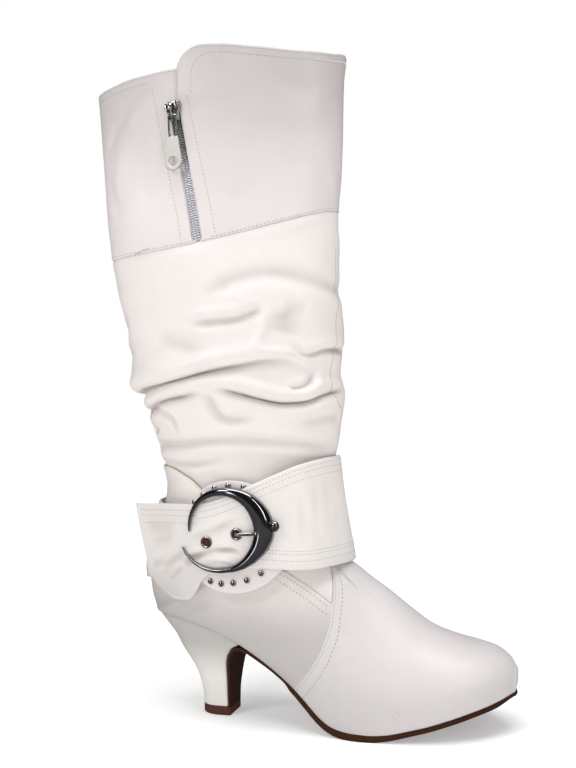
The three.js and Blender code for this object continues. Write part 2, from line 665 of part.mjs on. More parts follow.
// Angles round the cuff, with more of them at the corner of the front panel.
function cuffAngles() {
  const corner = COLLAR.map((row) => row.angle).filter((angle) => angle > 70 && angle < 110);
  const plain = ringAngles(round).filter((angle) =>
    corner.every((c) => Math.abs(degrees(c) - angle) > degrees(4)),
  );
  return [...plain, ...corner.map(degrees)].sort((a, b) => a - b);
}

const zipLine = new THREE.Vector2(zipFoot.x - zipTop.x, zipFoot.z - zipTop.z).normalize();
// A bar along the zip line, for the slot in the cuff.
function slotBar() {
  const side = new THREE.Vector2(-zipLine.y, zipLine.x).multiplyScalar(slotWidth / 2);
  const corners = [
    [zipTop, 1],
    [zipFoot, 1],
    [zipFoot, -1],
    [zipTop, -1],
  ];
  const outline = corners.map(([end, sign]) => ({
    x: end.x + sign * side.x,
    z: end.z + sign * side.y,
  }));
  return acrossBoot(outline, -collarWidth, -collarWidth / 4);
}

function makeCuff() {
  const wall = (offset) =>
    steps(0, 1, 5).map((level) =>
      cuffAngles().map((angle) => legPoint(mix(seamAt(angle), cuffTop(angle), level), angle, offset)),
    );
  return stackSolid([...wall(0), ...wall(-cuffWall).reverse()]).subtract(slotBar());
}

// A strip behind the slot, along the zip line.
function makeZipTape() {
  const over = (tapeWidth - slotWidth) / 2;
  const foot = seamAt(outerAngle(zipFoot.x + tapeWidth, zipFoot.z)) + shaftLap + fit;
  const rings = steps(foot, zipTop.z + over, 8).map((z) => {
    const edge = (side, offset) => {
      const x = zipX(z) + (side * tapeWidth) / 2;
      return legPoint(z, outerAngle(x, z), offset);
    };
    const front = -cuffWall - fit;
    const back = front - tapeThickness;
    return [edge(-1, front), edge(0, front), edge(1, front), edge(1, back), edge(0, back), edge(-1, back)];
  });
  return cappedStack(rings);
}

// A frame on the skin at the slider: its origin, the zip's direction, across it, and outwards.
function sliderFrame() {
  const angle = outerAngle(zipX(zipTop.z), zipTop.z);
  const z = zipTop.z - sliderLength / 2;
  const origin = legPoint(z, outerAngle(zipX(z), z), 0);
  const outward = legPoint(zipTop.z, angle, 1).sub(legPoint(zipTop.z, angle, 0)).normalize();
  const down = new THREE.Vector3(zipLine.x, 0, zipLine.y);
  const across = outward.clone().cross(down).normalize();
  return { origin, outward, across, down: across.clone().cross(outward).normalize() };
}
const slider = sliderFrame();
const onSlider = (across, down, outward) =>
  slider.origin
    .clone()
    .addScaledVector(slider.across, across)
    .addScaledVector(slider.down, down)
    .addScaledVector(slider.outward, outward);

const bridgeHeight = 3.6; // rise of the slider's bridge over its body
const bridgeEye = 2.3; // clear height under the bridge
const bridgeWidth = 2.4;
const loopWire = 0.9;
// The slider's body, waisted like a shield, with the bridge that carries the pull.
function makeSlider() {
  const outline = [
    [-0.5, -0.5],
    [0.5, -0.5],
    [0.46, 0],
    [0.3, 0.5],
    [-0.3, 0.5],
    [-0.46, 0],
  ];
  const ring = (lift) =>
    outline.map(([across, down]) => onSlider(across * sliderWidth, down * sliderLength, lift));
  const body = cappedStack([ring(fit), ring(fit + sliderThickness)]);
  const top = fit + sliderThickness;
  const block = (corners, half) =>
    cappedStack(
      [-half, half].map((across) =>
        corners.map(([down, lift]) => onSlider(across, down * sliderLength, lift)),
      ),
    );
  const bridge = block(
    [
      [-0.4, top - 0.6],
      [-0.3, top + bridgeHeight],
      [0.44, top + bridgeHeight],
      [0.5, top - 0.6],
    ],
    bridgeWidth / 2,
  );
  const eye = block(
    [
      [-0.24, top],
      [-0.18, top + bridgeEye],
      [0.34, top + bridgeEye],
      [0.38, top],
    ],
    bridgeWidth,
  );
  return body.add(bridge.subtract(eye));
}

// The pull hangs straight down from the bridge: a wire loop, then a tab with a round hole.
const pullLift = bridgeEye - fit - loopWire / 2; // pivot over the slider's body
const pullPivot = onSlider(0, 0.22 * sliderLength, fit + sliderThickness + pullLift);
const pullAxis = new THREE.Vector3(slider.outward.y, -slider.outward.x, 0).normalize();
function makePull() {
  const out = new THREE.Vector3(slider.outward.x, slider.outward.y, 0).normalize();
  const at = (across, down, outward) =>
    pullPivot
      .clone()
      .addScaledVector(pullAxis, across)
      .addScaledVector(out, outward)
      .add(new THREE.Vector3(0, 0, -down));
  const tabStart = 0.3 * pullLength;
  const hoop = new THREE.Shape();
  const neck = 0.29 * pullWidth;
  const round = pullWidth / 2;
  hoop.moveTo(-neck, -tabStart);
  hoop.lineTo(neck, -tabStart);
  hoop.lineTo(round, round - pullLength);
  hoop.absarc(0, round - pullLength, round, 0, -Math.PI, true);
  hoop.lineTo(-neck, -tabStart);
  const hole = new THREE.Path();
  hole.absarc(0, round - pullLength, pullHole, 0, TURN, false);
  hoop.holes.push(hole);
  const tab = new THREE.ExtrudeGeometry(hoop, {
    depth: pullThickness,
    bevelEnabled: false,
    curveSegments: 8,
  });
  const basis = new THREE.Matrix4().makeBasis(pullAxis, new THREE.Vector3(0, 0, 1), out.clone().negate());
  basis.setPosition(at(0, 0, pullThickness / 2));
  tab.applyMatrix4(basis);
  // The loop runs through the bridge's eye and down both sides into the tab.
  const reach = bridgeWidth / 2 + loopWire + fit;
  const path = [
    [-neck / 2, tabStart + 1],
    [-reach, 0.5 * tabStart],
    [-reach, 0],
    [reach, 0],
    [reach, 0.5 * tabStart],
    [neck / 2, tabStart + 1],
  ].map(([across, down]) => at(across, down, 0));
  const wire = path.map((point, i) => {
    const before = path[Math.max(i - 1, 0)];
    const after = path[Math.min(i + 1, path.length - 1)];
    const along = after.clone().sub(before).normalize();
    const side = along.clone().cross(out).normalize().multiplyScalar(loopWire / 2);
    const up = out.clone().multiplyScalar(loopWire / 2);
    return [
      point.clone().add(side).add(up),
      point.clone().sub(side).add(up),
      point.clone().sub(side).sub(up),
      point.clone().add(side).sub(up),
    ];
  });
  return solidFromGeometry(tab).add(cappedStack(wire));
}

// Sole, insole, heel

function makeOutsole() {
  const overlap = 0.6;
  const edge = -0.6; // the sole stands this much past the flat bottom
  const rear = stationAt(breastTop - breastFlap);
  const forepart = soleSlab(edge, -fit - soleThickness, -fit, [...stations.filter((place) => place < rear), rear]);
  const rows = HEEL.filter(({ up }) => up <= 0.74);
  const flap = rows.map((row) => {
    const { x, half, z } = heelFace(row);
    const outline = (side, out) => new THREE.Vector3(x + out, side * (half - 0.2), z);
    return [outline(-1, -breastFlap), outline(1, -breastFlap), outline(1, 0), outline(-1, 0)];
  });
  const top = soleHeight(breastTop) - fit;
  const end = flap.at(-1);
  flap.push(end.map((p) => new THREE.Vector3(p.x + overlap, p.y, top - overlap)));
  return forepart.add(cappedStack(flap)).subtract(lastSolid(fit));
}

// Station of the last whose lower point lies at X.
function stationAt(x) {
  let [low, high] = [0, 13];
  for (let i = 0; i < 30; i += 1) {
    const middle = (low + high) / 2;
    if (last.sole(middle) * footLength > x) low = middle;
    else high = middle;
  }
  return low;
}

function makeInsole() {
  const lift = upperWall + fit;
  const slab = soleSlab(-insoleThickness, 0, lift + insoleThickness, [0.5, ...stations.filter((place) => place > 0.5 && place < 14), 14]);
  return lastSolid(-lift).intersect(slab);
}

const heelBase = topPieceHeight + fit;
const tipHalf = heelTipWidth / 2;
const breastTip = heelTipRear + heelTipLength; // X of the breast at the tip, flap included
function heelFace({ up, breast, half }) {
  return {
    x: mix(breastTip, breastTop, breast),
    half: mix(tipHalf, seatHalfWidth, half),
    z: mix(heelBase, seatHeight, up),
  };
}

// A D-shaped ring, round at the back and square with small corners at the breast.
function heelRing(rear, breast, half, z) {
  const bow = 0.64 * (breast - rear);
  const centre = rear + bow;
  const corner = 0.1 * half;
  const back = steps(-Math.PI / 2, Math.PI / 2, 10).map(
    (turn) => new THREE.Vector3(centre - bow * Math.cos(turn), half * Math.sin(turn), z),
  );
  const front = [
    [breast - corner, half],
    [breast, half - corner],
    [breast, 0],
    [breast, corner - half],
    [breast - corner, -half],
  ].map(([x, y]) => new THREE.Vector3(x, y, z));
  return [...back, ...front];
}

function makeHeel() {
  const rings = HEEL.map((row) => {
    const { x, half, z } = heelFace(row);
    return heelRing(mix(heelTipRear, 0, row.rear), x - breastFlap - fit, half, z);
  });
  const sole = soleSlab(-ballWidth, -soleThickness - 2 * fit, seatHeight, steps(6, stationAt(breastTop - breastFlap - fit), 8));
  return cappedStack(rings).subtract(lastSolid(fit)).subtract(sole);
}

function makeTopPiece() {
  const ring = (z) => heelRing(heelTipRear, breastTip, tipHalf, z);
  return cappedStack([ring(0), ring(topPieceHeight)]);
}

// Strap and buckle

// A point on the girdle at an angle from the front and a height, moved out by an offset.
function girdlePoint(angle, z, offset) {
  const share = (z - strapBase) / (strapTop - strapBase);
  const rear = ankleRear + girdle.rear(share);
  const front = ankleFront + girdle.front(share);
  const middle = (rear + front) / 2;
  const long = (front - rear) / 2 + offset;
  const half = ankleWidth / 2 + girdle.wide(share) + offset;
  return new THREE.Vector3(middle + long * Math.cos(angle), -half * Math.sin(angle), z);
}
// The outer side of the girdle at X and height, moved out by an offset.
function girdleSide(x, z, offset) {
  const share = (z - strapBase) / (strapTop - strapBase);
  const rear = ankleRear + girdle.rear(share);
  const front = ankleFront + girdle.front(share);
  const long = (front - rear) / 2 + offset;
  const cosine = THREE.MathUtils.clamp((x - (rear + front) / 2) / long, -1, 1);
  return girdlePoint(Math.acos(cosine), z, offset);
}
const discLift = fit + strapThickness + 2 * fit; // inner face of the disc over the girdle
const layerLift = discLift + discThickness + fit; // inner face of the strap where it lies over the disc
const strapLevel = (share) => mix(strapBase, strapTop, share);

function makeStrap() {
  const across = steps(0, 1, 4);
  const smooth = columns(STRAP, "angle");
  const angles = [...steps(STRAP[0].angle, 360, 20), ...steps(360, STRAP.at(-1).angle, 15).slice(1)];
  const crossSection = (place) => [
    ...across.map((share) => place(share, 0)),
    ...across.map((share) => place(1 - share, strapThickness)),
  ];
  const rings = angles.map((angle) => {
    const lift = mix(fit, layerLift, smooth.layer(angle));
    return crossSection((share, thick) =>
      girdlePoint(
        degrees(angle),
        strapLevel(mix(smooth.base(angle), smooth.top(angle), share)),
        lift + thick,
      ),
    );
  });
  const leave = degrees(STRAP.at(-1).angle);
  TAIL.forEach(({ along, top, base }) => {
    rings.push(
      crossSection((share, thick) => {
        const z = strapLevel(mix(base, top, share));
        const start = girdlePoint(leave, z, layerLift + thick);
        const tangent = girdlePoint(leave + 0.01, z, layerLift).sub(girdlePoint(leave, z, layerLift));
        const reach = along * (tailLength - (1 - share) * tailSlant);
        return start.addScaledVector(tangent.normalize(), reach);
      }),
    );
  });
  return cappedStack(rings);
}

function makeDisc() {
  const levels = steps(-1, 1, 12).map((share) => Math.sin((share * Math.PI) / 2) * 0.995);
  const rings = levels.map((level) => {
    const z = discZ + level * discRadius;
    const half = discRadius * Math.sqrt(1 - level * level);
    const face = (side, lift) => girdleSide(discX + side * half, z, lift);
    const across = [-1, -0.5, 0, 0.5, 1];
    const outer = discLift + discThickness;
    return [...across.map((side) => face(side, discLift)), ...across.map((side) => face(-side, outer))];
  });
  return cappedStack(rings);
}

// A small dome set on the disc.
function makeStud({ angle, reach }) {
  const x = discX + reach * discRadius * Math.cos(degrees(angle));
  const z = discZ + reach * discRadius * Math.sin(degrees(angle));
  const lift = discLift + discThickness + fit;
  const seat = girdleSide(x, z, lift);
  const outward = girdleSide(x, z, lift + 1).sub(seat).setZ(0).normalize();
  const profile = steps(0, 1, 3).map((share) => {
    const turn = (share * Math.PI) / 2;
    return new THREE.Vector2(studRadius * Math.cos(turn), studHeight * Math.sin(turn));
  });
  const dome = new THREE.LatheGeometry([new THREE.Vector2(0, 0), ...profile], 8);
  dome.applyQuaternion(new THREE.Quaternion().setFromUnitVectors(new THREE.Vector3(0, 1, 0), outward));
  dome.translate(seat.x, seat.y, seat.z);
  return solidFromGeometry(dome);
}

const metalLift = layerLift + strapThickness + 0.6; // underside of the buckle's metal
const buckleSide = (x, z, lift) => girdleSide(x, z, metalLift + lift);

function makeBuckle() {
  const smooth = columns(CRESCENT, "angle");
  const rings = steps(CRESCENT[0].angle, CRESCENT.at(-1).angle, 26).map((angle) => {
    const middle = smooth.middle(angle) * buckleRadius;
    const half = (smooth.wide(angle) * buckleWidth) / 2;
    const rise = smooth.rise(angle) * buckleRise;
    const profile = [
      [-1, 0],
      [-0.92, 0.5],
      [-0.5, 0.92],
      [0, 1],
      [0.5, 0.92],
      [0.92, 0.5],
      [1, 0],
      [0, 0],
    ];
    return profile.map(([side, lift]) => {
      const radius = middle + side * half;
      const x = buckleX + radius * Math.cos(degrees(angle));
      const z = buckleZ + radius * Math.sin(degrees(angle));
      return buckleSide(x, z, lift * rise);
    });
  });
  const knobX = buckleX + buckleRadius + buckleWidth / 2;
  const knob = new THREE.SphereGeometry(knobRadius, 8, 6);
  const place = buckleSide(knobX, buckleZ + knobRadius, knobRadius);
  knob.scale(1, 0.7, 1.25);
  knob.translate(place.x, place.y, place.z);
  return cappedStack(rings).add(solidFromGeometry(knob));
}

const prongTip = { x: buckleX + 9.6, z: buckleZ - 2 };
function makeProng() {
  const end = buckleX + buckleRadius - buckleWidth / 2 - fit - prongRadius;
  const rings = steps(0, 1, 6).map((share) => {
    const x = mix(prongTip.x, end, share);
    const centre = buckleSide(x, prongTip.z, eyeletRise + prongRadius + fit);
    return ringAngles(8).map((turn) =>
      centre
        .clone()
        .add(new THREE.Vector3(0, prongRadius * Math.cos(turn), prongRadius * Math.sin(turn))),
    );
  });
  return cappedStack(rings);
}

// A flat ring set in the strap, with a rounded rim.
function makeEyelet(x, z) {
  const seat = buckleSide(x, z, 0);
  const outward = buckleSide(x, z, 1).sub(seat).setZ(0).normalize();
  const mid = (eyeletHole + eyeletRadius) / 2;
  const profile = [
    [eyeletHole, 0],
    [eyeletRadius, 0],
    [eyeletRadius - 0.3, 0.6 * eyeletRise],
    [mid, eyeletRise],
    [eyeletHole + 0.2, 0.6 * eyeletRise],
    [eyeletHole, 0],
  ].map(([radius, lift]) => new THREE.Vector2(radius, lift));
  const ring = new THREE.LatheGeometry(profile, 12);
  ring.applyQuaternion(new THREE.Quaternion().setFromUnitVectors(new THREE.Vector3(0, 1, 0), outward));
  ring.translate(seat.x, seat.y, seat.z);
  return solidFromGeometry(ring);
}

// Assembly

const finish = (color, roughness, metalness = 0) =>
  new THREE.MeshStandardMaterial({ color, roughness, metalness, flatShading: true });
const leather = finish(0xe9e2de, 0.55);
const leatherPale = finish(0xeeeae5, 0.5);
const soleBrown = finish(0x4a2a20, 0.5);
const insoleTan = finish(0xcdb89c, 0.7);
const gunmetal = finish(0x2c2c30, 0.15, 1);
const nickel = finish(0xb9b7b4, 0.2, 1);
const tapeGrey = finish(0xc9c5cf, 0.8);
const tabSilver = finish(0xe8e6df, 0.3, 1);

const boot = new THREE.Group();
function place(name, solid, material) {
  const mesh = new THREE.Mesh(geometryFromSolid(solid), material);
  mesh.name = name;
  boot.add(mesh);
}

place("upper", makeUpper(), leather);
place("shaft", makeShaft(), leather);
place("cuff", makeCuff(), leather);
place("outsole", makeOutsole(), soleBrown);
place("insole", makeInsole(), insoleTan);
place("heel", makeHeel(), leather);
place("top_piece", makeTopPiece(), soleBrown);
place("strap", makeStrap(), leatherPale);
place("disc", makeDisc(), leatherPale);
place("buckle", makeBuckle(), gunmetal);
place("prong", makeProng(), nickel);
place("eyelet_front", makeEyelet(prongTip.x - eyeletHole / 2, prongTip.z), nickel);
place("eyelet_rear", makeEyelet(buckleX - 11.4, buckleZ - 7.4), nickel);
STUDS.forEach((stud) => place(stud.name, makeStud(stud), nickel));
place("zip_tape", makeZipTape(), tapeGrey);
place("zip_slider", makeSlider(), gunmetal);
place("zip_pull", makePull(), tabSilver);

// The part's origin is under the middle of its bounding box, on the floor.
const bounds = new THREE.Box3().setFromObject(boot);
const middle = bounds.getCenter(new THREE.Vector3());
boot.position.set(-middle.x, -middle.y, -bounds.min.z);

export default boot;
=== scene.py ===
import bpy
import numpy as np
from mathutils import Matrix, Vector


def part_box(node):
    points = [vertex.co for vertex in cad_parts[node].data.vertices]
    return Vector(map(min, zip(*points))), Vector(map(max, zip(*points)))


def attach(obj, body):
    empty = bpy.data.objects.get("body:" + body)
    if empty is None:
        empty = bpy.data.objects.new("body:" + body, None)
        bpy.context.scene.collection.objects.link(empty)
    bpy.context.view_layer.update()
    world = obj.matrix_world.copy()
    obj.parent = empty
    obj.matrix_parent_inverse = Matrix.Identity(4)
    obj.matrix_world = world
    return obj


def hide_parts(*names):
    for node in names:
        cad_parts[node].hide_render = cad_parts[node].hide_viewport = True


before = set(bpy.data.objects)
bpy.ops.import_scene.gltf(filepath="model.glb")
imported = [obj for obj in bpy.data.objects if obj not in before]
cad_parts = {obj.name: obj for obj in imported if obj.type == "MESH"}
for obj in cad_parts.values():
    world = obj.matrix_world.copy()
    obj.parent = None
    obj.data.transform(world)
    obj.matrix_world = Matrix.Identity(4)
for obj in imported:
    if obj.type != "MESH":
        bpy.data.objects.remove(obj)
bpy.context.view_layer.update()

# Looks of a slouched boot for a right foot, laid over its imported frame. Sizes are millimetres in the
# boot's own axes: X runs from the back of the heel to the toe, -Y is the outer side and Z is up.

# Sizes

foot_length = 236.0
ball_width = 83.0
seat_height = 67.5
toe_spring = 21.0
toe_swing = 6.0
upper_wall = 2.0
vamp_step = 0.55
ankle_height = 125.0
ankle_rear = 4.0
ankle_front = 125.5
ankle_width = 76.0
tab_height = 162.5
collar_height = 427.5
collar_rear = -33.5
collar_front = 139.5
collar_width = 80.0
seam_height = 300.0
seam_rise = 24.0
shaft_wall = 1.6
cuff_wall = 1.8
shaft_lap = 2.4
tuck_depth = 2.0
tuck_gap = 0.5
seam_edge = 1.5
ease_length = 9.0
sole_thickness = 3.5
insole_thickness = 2.5
top_piece_height = 5.7
heel_tip_length = 21.5
heel_tip_width = 20.6
heel_tip_rear = 32.0
breast_top = 66.0
breast_flap = 1.5
seat_half_width = 26.5
strap_thickness = 1.8
strap_base = 101.0
strap_top = 168.5
tail_length = 45.8
tail_slant = 19.0
disc_radius = 36.0
disc_thickness = 1.6
disc_x = 70.0
disc_z = 120.5
stud_radius = 2.0
stud_height = 1.5
buckle_x = 65.6
buckle_z = 126.0
buckle_radius = 25.6
buckle_width = 12.0
buckle_rise = 4.4
knob_radius = 3.8
prong_radius = 1.1
eyelet_radius = 3.9
eyelet_hole = 2.2
eyelet_rise = 1.0
zip_top = (37.0, 395.0)
zip_foot = (51.3, 307.6)
slot_half = 3.3
tape_width = 15.0
tape_thickness = 0.8
slider_length = 13.0
slider_width = 11.4
slider_thickness = 3.0
bridge_height = 3.6
bridge_eye = 2.3
bridge_width = 2.4
loop_wire = 0.9
pull_length = 35.0
pull_width = 10.2
pull_thickness = 1.4
pull_hole = 2.6
gap = 0.3
turn = 2 * np.pi
room_light = 0.3  # strength of the dim room
floor_shine = 1.15
floor_hidden = 0.9  # share of the floor and room that reflections don't see
watts_overhead = 14.6
watts_key = 5.3
watts_strip = 3.1
watts_edge = 0.8

# The frame's place: the heel tip is centred on the boot's middle plane.
tip_low, tip_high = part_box("top_piece")
shift = np.array([tip_low.x * 1000 - heel_tip_rear, 500 * (tip_low.y + tip_high.y), 0.0])


# Curves and shapes of the foot and leg


def smooth_curve(points):
    """A curve through (x, y) points that never overshoots them: cubic pieces whose slope at a point is
    the harmonic mean of the slopes beside it, and zero at a turn."""
    x, y = np.array(points, float).T
    slope = np.diff(y) / np.diff(x)
    product = slope[:-1] * slope[1:]
    total = np.where(product > 0, slope[:-1] + slope[1:], 1)
    tangent = np.concatenate([slope[:1], np.where(product > 0, 2 * product / total, 0), slope[-1:]])

    def value(v):
        v = np.clip(np.asarray(v, float), x[0], x[-1])
        i = np.clip(np.searchsorted(x, v) - 1, 0, len(x) - 2)
        width = x[i + 1] - x[i]
        t = (v - x[i]) / width
        low = (1 + 2 * t) * (1 - t) ** 2 * y[i] + t * (1 - t) ** 2 * width * tangent[i]
        high = t**2 * (3 - 2 * t) * y[i + 1] - t**2 * (1 - t) * width * tangent[i + 1]
        return low + high

    return value


def mix(a, b, share):
    return a + (b - a) * share


def ease(x, start, end):
    """Rises smoothly from 0 at start to 1 at end."""
    t = np.clip((np.asarray(x, float) - start) / (end - start), 0, 1)
    return t * t * (3 - 2 * t)


def columns(names, rows, at=None):
    """Each column of a table as a smooth curve over its first column, or over the row's number."""
    table = np.array(rows, float)
    x = np.arange(len(table)) if at is None else table[:, 0]
    return {name: smooth_curve(np.stack([x, table[:, i]], 1)) for i, name in enumerate(names.split())}


# Sections of the last from toe to ankle: lower point, climb up the counter, ridge point, share of the
# ankle's width, half width, flat bottom, height of the widest place, roundness, and swing.
last = columns(
    "sole rise top crown leg half bottom seat wall ridge swing",
    [
        (0.989, 0, 0.987, 0.306, 0, 0.18, 0.7, 0.46, 2, 2.1, 1),
        (0.975, 0, 0.963, 0.338, 0, 0.36, 0.76, 0.45, 2, 2.1, 0.95),
        (0.945, 0, 0.887, 0.385, 0, 0.62, 0.8, 0.42, 2, 2.15, 0.85),
        (0.9, 0, 0.792, 0.411, 0, 0.81, 0.83, 0.39, 2, 2.1, 0.7),
        (0.84, 0, 0.665, 0.442, 0, 0.94, 0.87, 0.35, 2, 2, 0.5),
        (0.77, 0, 0.529, 0.493, 0, 0.995, 0.91, 0.31, 2, 1.9, 0.3),
        (0.7, 0, 0.403, 0.582, 0, 1, 0.93, 0.28, 2, 1.78, 0.12),
        (0.63, 0, 0.294, 0.664, 0, 0.985, 0.93, 0.27, 2, 1.72, 0),
        (0.55, 0, 0.2, 0.727, 0.1, 0.948, 0.87, 0.29, 1.9, 1.7, -0.15),
        (0.46, 0, 0.12, 0.784, 0.3, 0.922, 0.76, 0.32, 1.8, 1.72, -0.3),
        (0.36, 0, 0.064, 0.82, 0.5, 0.906, 0.67, 0.36, 1.75, 1.76, -0.3),
        (0.26, 0, 0.029, 0.86, 0.6, 0.896, 0.69, 0.4, 1.8, 1.82, -0.15),
        (0.16, 0, 0.012, 0.9, 0.7, 0.904, 0.72, 0.43, 1.85, 1.88, -0.05),
        (0.08, 0, 0.005, 0.935, 0.8, 0.922, 0.61, 0.46, 1.9, 1.93, 0),
        (0.028, 0, 0.002, 0.958, 0.85, 0.935, 0.38, 0.48, 1.95, 1.97, 0),
        (0.006, 0.005, 0.001, 0.968, 0.88, 0.94, 0.17, 0.485, 2, 2, 0),
        (-0.006, 0.11, 0, 0.977, 0.9, 0.944, 0, 0.49, 2, 2, 0),
        (-0.02, 0.45, 0, 0.988, 0.95, 0.963, 0, 0.5, 2, 2, 0),
        (-0.0085, 0.75, 0, 0.996, 0.98, 0.982, 0, 0.5, 2, 2, 0),
        (0, 1, 0, 1, 1, 1, 0, 0.5, 2, 2, 0),
    ],
)
ankle_station = 19.0
sole_line = columns(
    "at heel toe",
    [
        (0, 1, 0),
        (0.05, 1, 0),
        (0.1, 0.975, 0),
        (0.18, 0.905, 0),
        (0.255, 0.785, 0),
        (0.34, 0.612, 0),
        (0.424, 0.4, 0),
        (0.462, 0.283, 0),
        (0.5, 0.132, 0),
        (0.54, 0.022, 0),
        (0.57, 0, 0),
        (0.66, 0, 0),
        (0.72, 0, 0.15),
        (0.8, 0, 0.37),
        (0.88, 0, 0.63),
        (0.94, 0, 0.82),
        (1, 0, 1),
    ],
    at=0,
)
leg = columns(
    "up rear front wide",
    [
        (0, 0, 0, 1),
        (0.05, -0.147, -0.03, 1),
        (0.09, -0.187, -0.06, 1),
        (0.133, -0.107, -0.07, 1.01),
        (0.173, -0.053, 0.15, 1.03),
        (0.2, 0, 0.25, 1.05),
        (0.249, 0.16, 0.46, 1.08),
        (0.272, 0.25, 0.5, 1.09),
        (0.312, 0.4, 0.28, 1.09),
        (0.365, 0.49, 0.44, 1.1),
        (0.419, 0.51, 0.5, 1.11),
        (0.449, 0.53, 0.46, 1.11),
        (0.502, 0.64, 0.38, 1.11),
        (0.558, 0.75, 0.36, 1.1),
        (0.664, 0.827, 0.43, 1.08),
        (0.748, 0.867, 0.57, 1.06),
        (0.831, 0.912, 0.75, 1.04),
        (0.914, 0.952, 0.89, 1.02),
        (1, 1, 1, 1),
    ],
    at=0,
)
girdle = columns(
    "share rear front wide",
    [
        (-0.3, -7.6, 14.5, 2),
        (-0.06, -7.6, 10.2, 2.2),
        (0.14, -4.8, 8.2, 2.2),
        (0.36, -1, 5.8, 2.2),
        (0.6, 3.4, 3.4, 2.2),
        (1, 7, 0.4, 2.4),
    ],
    at=0,
)
topline_share = smooth_curve(
    [(0, 0.66), (45, 0.48), (80, 0.36), (105, 0.53), (123, 0.82), (142, 0.97), (180, 1)]
)


def sole_height(x):
    """Height of the underside of the upper: a base, plus the seat's rise and the toe spring in shares."""
    base = sole_thickness + gap
    total = 0
    for step in (-0.03, -0.015, 0, 0.015, 0.03):
        at = np.asarray(x, float) / foot_length + step
        total = total + sole_line["heel"](at) * (seat_height - base) + sole_line["toe"](at) * toe_spring
    rise = total / 5
    return base + rise - 0.35 * np.exp(-rise / 0.35)


def foot_section(station):
    """The section of the last at a station, as its lower point, ridge point, half width and roundness."""
    rise = last["rise"](station)
    sole_x = last["sole"](station) * foot_length
    base = mix(ball_width, ankle_width, last["leg"](station)) / 2
    return {
        "low_x": sole_x + rise * ankle_rear,
        "low_z": sole_height(sole_x) + rise * (ankle_height - seat_height),
        "top_x": mix(ankle_front, foot_length, last["top"](station)),
        "top_z": last["crown"](station) * ankle_height,
        "half": base * last["half"](station),
        "bottom": last["bottom"](station),
        "seat": last["seat"](station),
        "wall": last["wall"](station),
        "ridge": last["ridge"](station),
        "centre": last["swing"](station) * toe_swing,
    }


def leg_section(z):
    """The level section of the leg at a height: an ellipse from its back to its front."""
    up = (z - ankle_height) / (collar_height - ankle_height)
    level = np.zeros_like(np.asarray(z, float))
    return {
        "low_x": mix(ankle_rear, collar_rear, leg["rear"](up)),
        "low_z": z,
        "top_x": mix(ankle_front, collar_front, leg["front"](up)),
        "top_z": z,
        "half": mix(ankle_width, collar_width, np.maximum(up, 0)) / 2 * leg["wide"](up),
        "bottom": level,
        "seat": level + 0.5,
        "wall": level + 2,
        "ridge": level + 2,
        "centre": level,
    }


def section_point(part, angle):
    """A point of a section: two quarter superellipses, over and under the widest place, then the flat
    bottom. Angle 0 is the ridge, a quarter turn the outer side, a half turn the lower point."""
    turned = np.mod(angle, turn)
    outer = turned <= np.pi
    fold = np.where(outer, turned, turn - turned)
    over = fold <= np.pi / 2
    cosine = np.clip(np.cos(fold), 0, 1)
    sine = np.clip(np.sin(fold), 0, 1)
    share = np.clip(fold / (np.pi / 2) - 1, 0, 1)
    bend = 1 - 0.3 * np.minimum(1, part["bottom"] / 0.3)
    arc = np.minimum(share / bend, 1) * np.pi / 2
    flat = np.where(share > bend, (share - bend) / np.maximum(1 - bend, 1e-9), 0)
    under_height = part["seat"] * (1 - np.sin(arc) ** (2 / part["wall"]))
    corner = part["bottom"] * (1 - flat)
    corner = corner + (1 - part["bottom"]) * np.clip(np.cos(arc), 0, 1) ** (2 / part["wall"])
    height = np.where(over, part["seat"] + (1 - part["seat"]) * cosine ** (2 / part["ridge"]), under_height)
    width = part["half"] * np.where(over, sine ** (2 / part["ridge"]), corner)
    return np.stack(
        [
            mix(part["low_x"], part["top_x"], height),
            part["centre"] + np.where(outer, -width, width),
            mix(part["low_z"], part["top_z"], height),
        ],
        -1,
    )


def unit(vectors):
    return vectors / np.maximum(np.linalg.norm(vectors, axis=-1, keepdims=True), 1e-9)


def skin(section_of, place, step, angle):
    """A point on a skin and its outward normal, from the steps to the sections and angles beside it."""
    place, angle = np.broadcast_arrays(np.asarray(place, float), np.asarray(angle, float))
    point = section_point(section_of(place), angle)
    along = section_point(section_of(place + step), angle) - section_point(section_of(place - step), angle)
    here = section_of(place)
    around = section_point(here, angle + 0.03) - section_point(here, angle - 0.03)
    return point, -unit(np.cross(along, around))


def foot_skin(station, angle):
    """The last's skin. Over the heel's back edge it is drawn in a little, to run into the heel."""
    point, normal = skin(foot_section, station, -0.02, angle)
    drawn = 3.0 * np.exp(-(((point[..., 2] - 64.5) / 7) ** 2)) * (1 - ease(point[..., 0], 1, 16))
    point[..., 0] += drawn
    return point, normal


def leg_skin(z, angle):
    return skin(leg_section, z, -0.5, angle)


def raised(point, normal, lift):
    return point + normal * np.asarray(lift, float)[..., None]


def girdle_point(angle, z, lift):
    """A point of the strap's base: at its height an ellipse round the ankle, grown by the lift."""
    share = (z - strap_base) / (strap_top - strap_base)
    rear = ankle_rear + girdle["rear"](share)
    front = ankle_front + girdle["front"](share)
    long = (front - rear) / 2 + lift
    half = ankle_width / 2 + girdle["wide"](share) + lift
    x = (rear + front) / 2 + long * np.cos(angle)
    return np.stack(np.broadcast_arrays(x, -half * np.sin(angle), z), -1)


def girdle_angle(x, z, lift):
    """Angle on the outer side of the strap's base at an X and a height."""
    share = (z - strap_base) / (strap_top - strap_base)
    rear = ankle_rear + girdle["rear"](share)
    front = ankle_front + girdle["front"](share)
    long = (front - rear) / 2 + lift
    return np.arccos(np.clip((x - (rear + front) / 2) / long, -1, 1))


